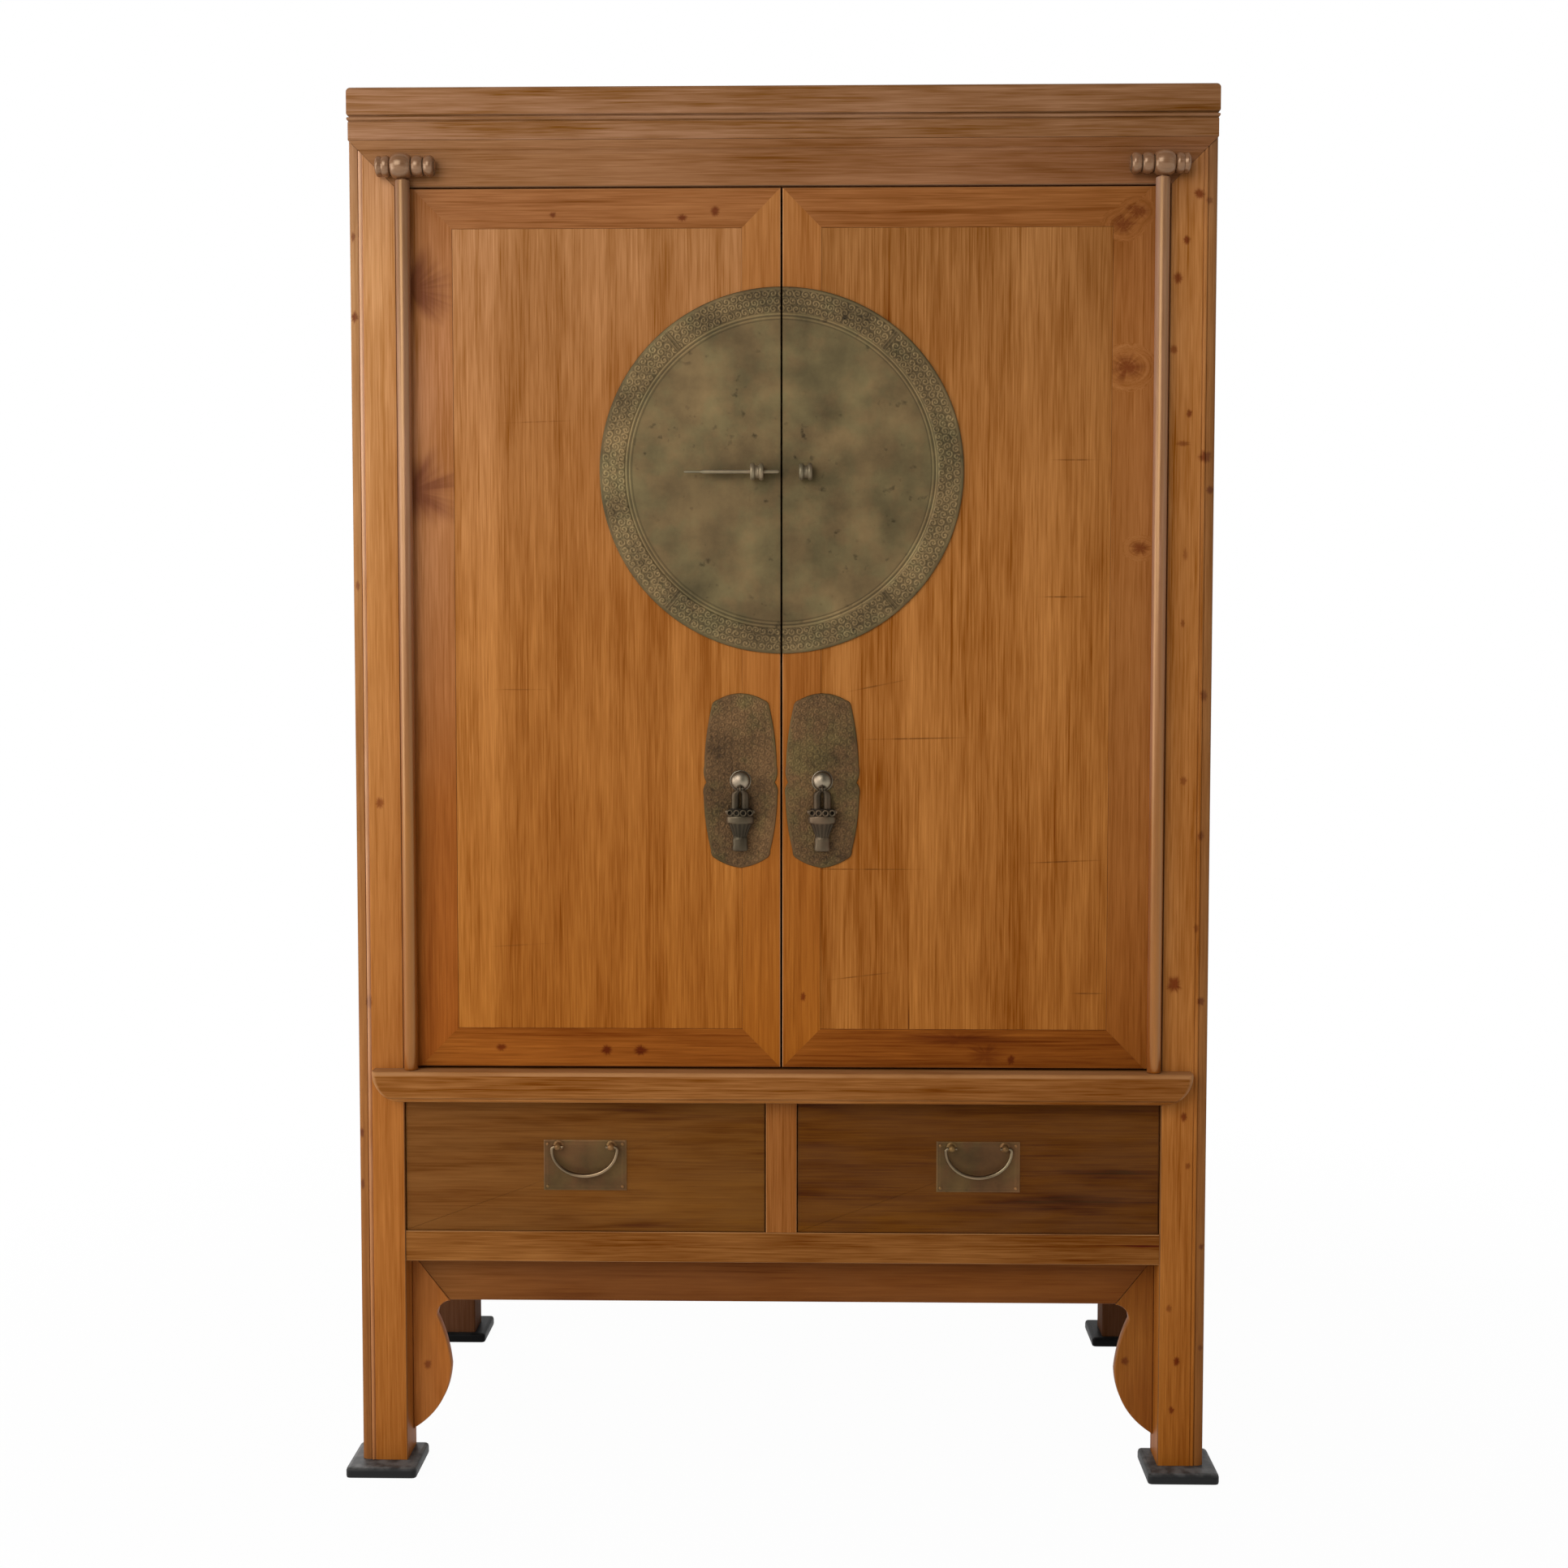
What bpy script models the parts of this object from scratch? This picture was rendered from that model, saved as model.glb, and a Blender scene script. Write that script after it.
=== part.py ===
"""Chinese wedding armoire: two pole-hung doors over two drawers, with brass fittings.

Metres, +Z up. The front faces -Y, +X is the viewer's right, and the origin is on the floor under the
middle of the case. Every piece is its own object. A moving piece hangs from an empty on its joint axis.
"""

import math

import bmesh
import bpy
from mathutils import Vector

# Clearances
SEAT_GAP = 0.0003        # between pieces that are glued, pegged or nailed together
RUN_GAP = 0.0012         # round a sliding drawer front
PIVOT_GAP = 0.0004       # round a turning or sliding pin

# Case
CASE_W = 1.100
CASE_D = 0.562
POST_W = 0.0595
POST_D = 0.056
FOOT_H = 0.014
FOOT_SIDE = 0.092        # a foot pad is square
FOOT_TOE = 0.028         # how far a pad stands out in front of or behind its post
FOOT_EDGE = 0.0025

# Heights of what is stacked between the floor and the top
APRON_CLEAR = 0.216
APRON_H = 0.063
DRAWER_RAIL_H = 0.040
DRAWER_OPENING_H = 0.1755
WAIST_H = 0.039
DOOR_OPENING_H = 1.1275
FRIEZE_H = 0.059
NECK_H = 0.0235
BEAD_BAND_H = 0.0075
CAP_H = 0.036

# Moulded edge of the front posts and the frieze
EDGE_ROUND = 0.008
EDGE_DROP = 0.003
EDGE_BEAD_R = 0.003
EDGE_BEAD_AT = 0.0140    # bead centre, from the outer side of the frame
EDGE_QUIRK = 0.0012
ARRIS = 0.0015           # broken edge of the other timbers

# Cornice
CAP_OVERHANG = 0.0015
CAP_TOP_ROUND = 0.006
CAP_UNDER_ROUND = 0.011
CORNICE_WALL = 0.034
CORNICE_BOARD_T = 0.022
CORNICE_BEAD_R = 0.0022
CORNICE_QUIRK = 0.0020

# Rails, apron and spandrels
RAIL_INSET = 0.0015
WAIST_PROUD = 0.0275
WAIST_ROUND = 0.004
WAIST_BEAD_R = 0.0022
WAIST_LAP_TOP = 0.0375   # how far the waist rail laps over a post, along its top and bottom edge
WAIST_LAP_FOOT = 0.003
SIDE_INSET = 0.002
SIDE_RAIL_T = 0.040
SIDE_LIP = 0.022         # outer part of a side bottom rail, beside the deck's ledge
DIVIDER_W = 0.040
GUIDE_H = 0.020
GUIDE_W = 0.020
APRON_INSET = 0.038
APRON_T = 0.016
APRON_MITRE_W = 0.050
SPANDREL_CUSP_W = 0.0322
SPANDREL_CUSP_DROP = 0.021
SPANDREL_LOBE_W = 0.0507
SPANDREL_LOBE_DROP = 0.089
SPANDREL_DROP = 0.1745
SPANDREL_ARCH = 0.005    # how far the edge bows above the cusp, between cusp and lobe, and below the lobe
SPANDREL_SWELL = 0.003
SPANDREL_BELLY = 0.0132

# Boards
PANEL_T = 0.012
TONGUE = 0.008           # how deep a panel is housed in its frame
SIDE_PANEL_INSET = 0.006
BACK_PANEL_INSET = 0.016
BATTEN_T = 0.018
BATTEN_H = 0.030
FLOOR_T = 0.012
SHELF_T = 0.018
SHELF_RISE = 0.560       # shelf top above the waist rail
DECK_T = 0.012

# Doors
POLE_R = 0.009
POLE_GAP = 0.0027        # between a pole and its post
POLE_PROUD = 0.0102      # pole axis in front of the posts
POLE_WEB = 0.010
PIVOT_R = 0.0045
PIVOT_L = 0.011
LEAF_T = 0.026
LEAF_INSET = 0.001
LEAF_SIDE_GAP = 0.002
LEAF_FOOT_GAP = 0.003
LEAF_HEAD_GAP = 0.002
MEETING_GAP = 0.0026
STILE_W = 0.0695
STILE_COVER = 0.0205     # outer part of a hinge stile, behind the pole and cut square at its ends
MEETING_W = 0.049
DOOR_RAIL_W = 0.050
DOOR_PANEL_DROP = 0.0006
DOOR_TONGUE_T = 0.006
DOOR_BATTEN_T = 0.009
DOOR_BATTEN_H = 0.036

# Turned hinge brackets
BRACKET_RISE = 0.0235    # bracket axis above the underside of the frieze
BALL_L = 0.027
BALL_R = 0.017
BALL_SHIFT = 0.0015      # middle of the ball outside the pole's axis
LOBE_L = 0.0152
OUTER_LOBE_L = 0.0195
LOBE_R = 0.0135
BRACKET_NECK_R = 0.0092

# Brass on the doors
SHEET_T = 0.0013
MOON_R = 0.232
MOON_RING_W = 0.040
MOON_RING_RAISE = 0.0007
MOON_RISE = 0.7695       # plate centre above the waist rail
LUG_X = 0.031
LUG_R = 0.0103
LUG_L = 0.017
LUG_RING_W = 0.006       # ring round each end of a lug
LUG_DIP = 0.0012         # groove between the rings
LUG_FOOT_R = 0.0055
LUG_STAND = 0.0115       # barrel axis in front of the plate
LUG_DROP = 0.002
PIN_R = 0.0024
PIN_L = 0.121
PIN_TAIL_L = 0.022
PIN_TAIL_R = 0.0015
PULL_X = 0.0525
PULL_RISE = 0.3745
PULL_W = 0.095
PULL_H = 0.2245
PULL_BOW = 0.002         # how far the plate's edges bow out
# Points of a pull plate's outline, as shares of its half width and half height
PULL_SHOULDER = (0.62, 0.925)
PULL_CORNER = (0.78, 0.845)
PULL_WAIST = (0.98, 0.175)
PULL_NICK = (0.86, -0.02)
PULL_LOBE = (1.0, -0.17)
PULL_HIP = (0.80, -0.80)
PULL_TOE = (0.68, -0.895)
BOSS_R = 0.0115
BOSS_H = 0.0085
HANGER_DROP = 0.0100     # pendant pivot below the boss centre
HANGER_STAND = 0.0112    # pendant pivot in front of the pull plate
HANGER_PIN_R = 0.0015
HANGER_EYE_R = 0.0013    # wire of the pendant's eye
CHEEK_T = 0.0022
PENDANT_NECK_R = 0.0050
PENDANT_HANDLE_L = 0.0215
PENDANT_HANDLE_R = 0.0098
PENDANT_CROWN_H = 0.0100
PENDANT_CROWN_R = 0.0195
PENDANT_RIM_R = 0.0172
PENDANT_BAND_H = 0.0095
PENDANT_RIM_STEP = 0.0040
PENDANT_TAPER_L = 0.0175
PENDANT_DROP_R = 0.0085
PENDANT_DROP_L = 0.0185
PENDANT_FLATTEN = 0.5    # a pendant is half as deep as it is wide

# Drawers
DRAWER_INSET = 0.003
DRAWER_FRONT_T = 0.020
DRAWER_HEAD_GAP = 0.0018
DRAWER_SIDE_T = 0.011
DRAWER_SIDE_GAP = 0.0025
DRAWER_SIDE_H = 0.130
DRAWER_BOTTOM_T = 0.007
DRAWER_BOTTOM_RISE = 0.009
DRAWER_GROOVE = 0.005
DRAWER_BACK_GAP = 0.012
HANDLE_W = 0.108
HANDLE_H = 0.066
EYE_SPAN = 0.069         # between the two eyes of a handle
EYE_RISE = 0.026         # eyes above the middle of the plate
EYE_R = 0.0045
EYE_STAND = 0.0085       # bail pivot in front of the handle plate
BAIL_R = 0.0021
BAIL_HALF_W = 0.0425
BAIL_DROP = 0.038

# Facets, and the drawn size of a joint's axis
ARC_STEPS = 4
TURN_STEPS = 20
WIRE_SIDES = 8
AXIS_MARK = 0.05

# Worked out from the sizes above
HALF_W = CASE_W / 2
INNER_X = HALF_W - POST_W
FRONT = -CASE_D / 2
BACK = CASE_D / 2
POST_REAR = FRONT + POST_D
POST_FORE = BACK - POST_D
Z_RAIL = APRON_CLEAR + APRON_H
Z_DRAWER = Z_RAIL + DRAWER_RAIL_H
Z_WAIST = Z_DRAWER + DRAWER_OPENING_H
Z_FLOOR = Z_WAIST + WAIST_H
Z_FRIEZE = Z_FLOOR + DOOR_OPENING_H
Z_NECK = Z_FRIEZE + FRIEZE_H
Z_CAP = Z_NECK + NECK_H + BEAD_BAND_H
Z_TOP = Z_CAP + CAP_H
MITRE_GAP = SEAT_GAP * 1.5
SIDE_OUTER = HALF_W - SIDE_INSET
PANEL_OUTER = HALF_W - SIDE_PANEL_INSET
PANEL_INNER = PANEL_OUTER - PANEL_T
BACK_PANEL_FORE = BACK - BACK_PANEL_INSET - PANEL_T
DECK_LEDGE = Z_DRAWER - DECK_T - SEAT_GAP
POLE_X = INNER_X - POLE_GAP - POLE_R
POLE_Y = FRONT - POLE_PROUD
LEAF_OUT = INNER_X - LEAF_SIDE_GAP
LEAF_IN = MEETING_GAP / 2
LEAF_Y = FRONT + LEAF_INSET
LEAF_FOOT = Z_FLOOR + LEAF_FOOT_GAP
LEAF_HEAD = Z_FRIEZE - LEAF_HEAD_GAP
BRACKET_Z = Z_FRIEZE + BRACKET_RISE
SHEET_Y = LEAF_Y - SEAT_GAP
SHEET_FACE = SHEET_Y - SHEET_T
MOON_Z = Z_FLOOR + MOON_RISE
LUG_Z = MOON_Z - LUG_DROP
LUG_Y = SHEET_FACE - LUG_STAND
PULL_Z = Z_FLOOR + PULL_RISE
HANGER_Y = SHEET_FACE - HANGER_STAND
HANGER_Z = PULL_Z - HANGER_DROP
DRAWER_Y = FRONT + DRAWER_INSET
DRAWER_REAR = BACK_PANEL_FORE - DRAWER_BACK_GAP
DRAWER_X = (DIVIDER_W / 2 + INNER_X) / 2
HANDLE_Y = DRAWER_Y - SEAT_GAP
HANDLE_FACE = HANDLE_Y - SHEET_T
HANDLE_Z = (Z_DRAWER + Z_WAIST) / 2
EYE_Y = HANDLE_FACE - EYE_STAND
EYE_Z = HANDLE_Z + EYE_RISE

SIDES = (("left", -1), ("right", 1))

for old in list(bpy.data.objects):
    bpy.data.objects.remove(old)


# Finishes

def finish(name, colour, roughness, metallic=0.0):
    made = bpy.data.materials.new(name)
    made.use_nodes = True
    shader = made.node_tree.nodes["Principled BSDF"]
    shader.inputs["Base Color"].default_value = (*colour, 1.0)
    shader.inputs["Roughness"].default_value = roughness
    shader.inputs["Metallic"].default_value = metallic
    return made


POST_WOOD = finish("post_wood", (0.42, 0.19, 0.065), 0.42)
RAIL_WOOD = finish("rail_wood", (0.30, 0.13, 0.045), 0.45)
PANEL_WOOD = finish("panel_wood", (0.43, 0.17, 0.045), 0.40)
DRAWER_WOOD = finish("drawer_wood", (0.22, 0.085, 0.028), 0.42)
INNER_WOOD = finish("inner_wood", (0.36, 0.22, 0.11), 0.65)
FOOT_BLACK = finish("foot_black", (0.012, 0.012, 0.013), 0.38)
AGED_BRASS = finish("aged_brass", (0.22, 0.155, 0.075), 0.48, 1.0)
WORN_BRASS = finish("worn_brass", (0.42, 0.33, 0.20), 0.30, 1.0)


# Outlines

def arc(centre, radius, start, end, steps=ARC_STEPS):
    """Points on a circle from one angle to another, in degrees, both ends included."""
    points = []
    for step in range(steps + 1):
        angle = math.radians(start + (end - start) * step / steps)
        points.append((centre[0] + radius * math.cos(angle), centre[1] + radius * math.sin(angle)))
    return points


def bow(start, end, rise, steps=ARC_STEPS):
    """Points after start, up to end, on the arc that rises to the right of the way there."""
    start, end = Vector(start), Vector(end)
    along = end - start
    right = Vector((along.y, -along.x)).normalized()
    points = []
    for step in range(1, steps + 1):
        share = step / steps
        # A parabola of the same rise, which is an arc to within a hair at these flat bows.
        points.append(tuple(start + along * share + right * (4 * rise * share * (1 - share))))
    return points


def chamfered(low, high, cut=ARRIS):
    """Rectangle outline with its corners cut."""
    (a, b), (c, d) = low, high
    return [(a + cut, b), (c - cut, b), (c, b + cut), (c, d - cut),
            (c - cut, d), (a + cut, d), (a, d - cut), (a, b + cut)]


def moulded_edge():
    """Outer edge of the front frame, as (inwards from the outer side, back from the front)."""
    points = []
    for a, b in arc((EDGE_ROUND, EDGE_DROP + EDGE_ROUND), EDGE_ROUND, 180, 270):
        points.append((a, b))
    for a, b in arc((EDGE_BEAD_AT, EDGE_BEAD_R), EDGE_BEAD_R, 180, 330, ARC_STEPS + 1):
        points.append((a, b))
    points.append((EDGE_BEAD_AT + EDGE_BEAD_R + EDGE_QUIRK, 0.0))
    return points


# Solids

def prism(outline, place, low, high, fold=None):
    """Solid between two copies of an outline. place(a, b, c) puts outline point (a, b) at run c into
    space. low and high are runs, or functions of (a, b) that cut a mitre. fold names two outline
    points, and the ends are folded along the line between them."""
    bm = bmesh.new()
    ends = []
    for cut in (low, high):
        ring = []
        for a, b in outline:
            run = cut(a, b) if callable(cut) else cut
            ring.append(bm.verts.new(place(a, b, run)))
        if fold is None:
            bm.faces.new(ring)
        else:
            first, last = fold
            bm.faces.new(ring[first:last + 1])
            bm.faces.new(ring[last:] + ring[:first + 1])
        ends.append(ring)
    count = len(outline)
    for here in range(count):
        there = (here + 1) % count
        bm.faces.new((ends[0][here], ends[0][there], ends[1][there], ends[1][here]))
    return bm


def box(low, high):
    outline = [(low[0], low[1]), (high[0], low[1]), (high[0], high[1]), (low[0], high[1])]
    return prism(outline, lambda a, b, c: (a, b, c), low[2], high[2])


def stack(rings):
    """Solid through rings of points that all have the same count, closed at both ends."""
    bm = bmesh.new()
    made = []
    for ring in rings:
        made.append([bm.verts.new(point) for point in ring])
    bm.faces.new(made[0])
    bm.faces.new(made[-1])
    for low, high in zip(made, made[1:]):
        count = len(low)
        for here in range(count):
            there = (here + 1) % count
            bm.faces.new((low[here], low[there], high[there], high[here]))
    return bm


def turned(profile, place, steps=TURN_STEPS):
    """Solid of revolution. profile is (radius, run) from end to end, and its ends may lie on the axis.
    place(a, b, c) puts a point at (a, b) across the axis and run c along it into space."""
    bm = bmesh.new()
    rings = []
    for radius, run in profile:
        if radius == 0:
            rings.append([bm.verts.new(place(0.0, 0.0, run))])
            continue
        ring = []
        for step in range(steps):
            angle = 2 * math.pi * step / steps
            ring.append(bm.verts.new(place(radius * math.cos(angle), radius * math.sin(angle), run)))
        rings.append(ring)
    for low, high in zip(rings, rings[1:]):
        for here in range(steps):
            there = (here + 1) % steps
            corners = []
            for ring, index in ((low, here), (low, there), (high, there), (high, here)):
                corner = ring[index % len(ring)]
                if corner not in corners:
                    corners.append(corner)
            bm.faces.new(corners)
    for ring in (rings[0], rings[-1]):
        if len(ring) > 1:
            bm.faces.new(ring)
    return bm


def wire(path, radius, place, sides=WIRE_SIDES):
    """Round wire along a flat path of (a, b) points. place(a, b, c) has c square to the path's plane."""
    bm = bmesh.new()
    rings = []
    points = [Vector(point) for point in path]
    for index, point in enumerate(points):
        before = points[max(index - 1, 0)]
        after = points[min(index + 1, len(points) - 1)]
        along = (after - before).normalized()
        across = Vector((along.y, -along.x))
        ring = []
        for side in range(sides):
            angle = 2 * math.pi * side / sides
            spot = point + across * (radius * math.cos(angle))
            ring.append(bm.verts.new(place(spot.x, spot.y, radius * math.sin(angle))))
        rings.append(ring)
    for low, high in zip(rings, rings[1:]):
        for here in range(sides):
            there = (here + 1) % sides
            bm.faces.new((low[here], low[there], high[there], high[here]))
    bm.faces.new(rings[0])
    bm.faces.new(rings[-1])
    return bm


def ring_solid(radius, thick, place, steps=2 * WIRE_SIDES, sides=WIRE_SIDES):
    """Torus. place(a, b, c) has the ring in its a, b plane."""
    bm = bmesh.new()
    grid = []
    for step in range(steps):
        turn = 2 * math.pi * step / steps
        row = []
        for side in range(sides):
            angle = 2 * math.pi * side / sides
            reach = radius + thick * math.cos(angle)
            spot = (reach * math.cos(turn), reach * math.sin(turn), thick * math.sin(angle))
            row.append(bm.verts.new(place(*spot)))
        grid.append(row)
    for step in range(steps):
        here, there = grid[step], grid[(step + 1) % steps]
        for side in range(sides):
            other = (side + 1) % sides
            bm.faces.new((here[side], here[other], there[other], there[side]))
    return bm


def piece(name, bm, look, axis=None, smooth=None):
    """Makes a named object of a solid. axis is the empty of the joint that carries it, and smooth is
    the angle in degrees below which its edges are shaded round."""
    bmesh.ops.recalc_face_normals(bm, faces=bm.faces)
    if axis is not None:
        bmesh.ops.translate(bm, verts=bm.verts, vec=-axis.location)
    mesh = bpy.data.meshes.new(name)
    bm.to_mesh(mesh)
    bm.free()
    mesh.materials.append(look)
    if smooth is not None:
        mesh.shade_smooth()
        mesh.set_sharp_from_angle(angle=math.radians(smooth))
    made = bpy.data.objects.new(name, mesh)
    bpy.context.collection.objects.link(made)
    if axis is not None:
        made.parent = axis
    return made


def combine(target, bm, operation):
    """Adds a solid to an object, or cuts it out, and keeps the result as the object's mesh."""
    tool = piece("tool", bm, target.data.materials[0], target.parent)
    boolean = target.modifiers.new(operation, "BOOLEAN")
    boolean.operation = operation
    boolean.solver = "EXACT"
    boolean.object = tool
    bpy.context.view_layer.update()
    graph = bpy.context.evaluated_depsgraph_get()
    result = bpy.data.meshes.new_from_object(target.evaluated_get(graph))
    target.modifiers.remove(boolean)
    before = target.data
    name = before.name
    target.data = result
    bpy.data.meshes.remove(before)
    spent = tool.data
    bpy.data.objects.remove(tool)
    bpy.data.meshes.remove(spent)
    result.name = name


def add(target, bm):
    combine(target, bm, "UNION")


def cut(target, bm):
    combine(target, bm, "DIFFERENCE")


def joint_empty(name, spot):
    made = bpy.data.objects.new(name, None)
    made.location = spot
    made.empty_display_size = AXIS_MARK
    bpy.context.collection.objects.link(made)
    bpy.context.view_layer.update()
    return made


# Ways to lay an outline in space

def upright(a, b, c):
    return (a, b, c)


def along_x(a, b, c):
    return (c, a, b)


def along_y(a, b, c):
    return (a, c, b)


# Posts and feet

def post_top(a, b):
    """Run of a front post's mitred top, falling from the outer side to the inner side."""
    return Z_NECK - a * FRIEZE_H / POST_W


def make_posts():
    moulded = moulded_edge() + [(POST_W - ARRIS, 0.0), (POST_W, ARRIS),
                                (POST_W, POST_D), (ARRIS, POST_D), (0.0, POST_D - ARRIS)]
    plain = chamfered((0.0, 0.0), (POST_W, POST_D), ARRIS)
    posts = {}
    for side, sign in SIDES:
        def front_place(a, b, c):
            return (sign * (HALF_W - a), FRONT + b, c)

        def rear_place(a, b, c):
            return (sign * (HALF_W - a), BACK - b, c)

        foot = FOOT_H + SEAT_GAP
        front = prism(moulded, front_place, foot, post_top)
        rear = prism(plain, rear_place, foot, Z_NECK)
        posts["front", side] = piece(f"post_front_{side}", front, POST_WOOD)
        posts["rear", side] = piece(f"post_rear_{side}", rear, POST_WOOD)
        centre = sign * (HALF_W - POST_W / 2)
        make_foot(f"foot_pad_front_{side}", centre, FRONT - FOOT_TOE)
        make_foot(f"foot_pad_rear_{side}", centre, BACK + FOOT_TOE - FOOT_SIDE)
    return posts


def make_foot(name, centre, fore):
    half = FOOT_SIDE / 2
    rings = []
    for inset, height in ((0.0, 0.0), (0.0, FOOT_H - FOOT_EDGE), (FOOT_EDGE, FOOT_H)):
        low = (centre - half + inset, fore + inset)
        high = (centre + half - inset, fore + FOOT_SIDE - inset)
        outline = chamfered(low, high, FOOT_EDGE)
        rings.append([(a, b, height) for a, b in outline])
    piece(name, stack(rings), FOOT_BLACK)


# Top of the case

def make_cornice():
    """Moulded cap over a bead and a neck, hollow underneath, as rings round the case."""
    foot = Z_NECK + SEAT_GAP
    bead_foot = Z_NECK + NECK_H
    bead_mid = bead_foot + BEAD_BAND_H / 2
    ceiling = Z_TOP - CORNICE_BOARD_T
    profile = [(-CORNICE_WALL, ceiling), (-CORNICE_WALL, foot), (0.0, foot), (0.0, bead_foot)]
    profile.append((-CORNICE_QUIRK, bead_foot))
    profile += arc((-CORNICE_QUIRK, bead_mid), CORNICE_BEAD_R, -90, 90, ARC_STEPS)
    under = arc((CAP_OVERHANG - CAP_UNDER_ROUND, Z_CAP + CAP_UNDER_ROUND), CAP_UNDER_ROUND, -90, 0)
    profile.append((-CORNICE_QUIRK, Z_CAP))
    profile += [point for point in under if point[0] > -CORNICE_QUIRK]
    top_centre = (CAP_OVERHANG - CAP_TOP_ROUND, Z_TOP - CAP_TOP_ROUND)
    profile += arc(top_centre, CAP_TOP_ROUND, 0, 90)
    rings = []
    for out, height in profile:
        x, y = HALF_W + out, CASE_D / 2 + out
        rings.append([(-x, -y, height), (x, -y, height), (x, y, height), (-x, y, height)])
    piece("cornice", stack(rings), RAIL_WOOD)


def make_frieze():
    outline = moulded_edge() + [(FRIEZE_H - ARRIS, 0.0), (FRIEZE_H, ARRIS),
                                (FRIEZE_H, POST_D), (0.0, POST_D)]

    def place(a, b, c):
        return (c, FRONT + b, Z_NECK - a)

    def end(a, b):
        return HALF_W - a * POST_W / FRIEZE_H - MITRE_GAP

    piece("frieze_rail", prism(outline, place, lambda a, b: -end(a, b), end), RAIL_WOOD)


# Rails below the doors

def make_waist():
    """Waist rail: a nosing that laps over the posts with rounded-off ends, and the body behind it."""
    bead = arc((FRONT - WAIST_PROUD + WAIST_BEAD_R, Z_WAIST + WAIST_BEAD_R), WAIST_BEAD_R, 270, 120)
    nose = arc((FRONT - WAIST_PROUD + WAIST_ROUND, Z_FLOOR - WAIST_ROUND), WAIST_ROUND, 180, 90)
    face = (FRONT - WAIST_PROUD, Z_WAIST + 2 * WAIST_BEAD_R + EDGE_QUIRK)
    back = FRONT - SEAT_GAP
    rise = Z_FLOOR - WAIST_ROUND - face[1]
    front = [(face[0], face[1] + rise * step / ARC_STEPS) for step in range(ARC_STEPS)]
    rings = []
    for depth, height in bead + front + nose:
        share = min(max((height - Z_WAIST) / WAIST_H, 0.0), 1.0)
        swept = math.sqrt(1 - (1 - share) ** 2)
        end = INNER_X + WAIST_LAP_FOOT + (WAIST_LAP_TOP - WAIST_LAP_FOOT) * swept
        rings.append([(-end, depth, height), (end, depth, height), (end, back, height), (-end, back, height)])
    rail = piece("waist_rail", stack(rings), RAIL_WOOD)
    reach = INNER_X - SEAT_GAP
    sunk = FRONT - WAIST_PROUD / 2
    add(rail, box((-reach, sunk, Z_WAIST + SEAT_GAP), (reach, POST_REAR, Z_FLOOR - SEAT_GAP)))
    for side, sign in SIDES:
        depth = PIVOT_L + PIVOT_GAP

        def place(a, b, c):
            return (sign * POLE_X + a, POLE_Y + b, c)

        socket = PIVOT_R + PIVOT_GAP
        cut(rail, turned([(socket, Z_FLOOR - depth), (socket, Z_FLOOR + depth)], place))


def make_drawer_rail():
    reach = INNER_X - SEAT_GAP
    outline = chamfered((FRONT + RAIL_INSET, Z_RAIL), (POST_REAR, Z_DRAWER))
    piece("drawer_rail", prism(outline, along_x, -reach, reach), RAIL_WOOD)


def make_divider():
    """Post between the drawers, with the guide that runs back from its foot."""
    fore, rear = FRONT + RAIL_INSET, BACK_PANEL_FORE - SEAT_GAP
    foot, head = Z_DRAWER + SEAT_GAP, Z_WAIST - SEAT_GAP
    guide = Z_DRAWER + GUIDE_H
    outline = [(fore, foot), (rear, foot), (rear, guide), (POST_REAR, guide), (POST_REAR, head), (fore, head)]
    half = DIVIDER_W / 2
    piece("drawer_divider", prism(outline, along_x, -half, half), RAIL_WOOD)


def make_apron():
    fore, rear = FRONT + APRON_INSET, FRONT + APRON_INSET + APRON_T
    head = Z_RAIL - SEAT_GAP
    wide = INNER_X - SEAT_GAP
    narrow = wide - APRON_MITRE_W
    outline = [(-wide, head), (wide, head), (narrow, APRON_CLEAR), (-narrow, APRON_CLEAR)]
    piece("apron", prism(outline, along_y, fore, rear), DRAWER_WOOD)
    for side, sign in SIDES:
        def place(a, b, c):
            return (sign * (wide - a), c, b)

        corner = (APRON_MITRE_W, APRON_CLEAR - 2 * MITRE_GAP)
        cusp = (SPANDREL_CUSP_W, APRON_CLEAR - SPANDREL_CUSP_DROP)
        lobe = (SPANDREL_LOBE_W, APRON_CLEAR - SPANDREL_LOBE_DROP)
        toe = (0.0, APRON_CLEAR - SPANDREL_DROP)
        wing = [(0.0, head - 2 * MITRE_GAP), corner]
        wing += bow(corner, cusp, SPANDREL_ARCH)
        wing += bow(cusp, lobe, -SPANDREL_SWELL)
        wing += bow(lobe, toe, -SPANDREL_BELLY, 2 * ARC_STEPS)
        piece(f"spandrel_{side}", prism(wing, place, fore, rear), POST_WOOD)


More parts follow.
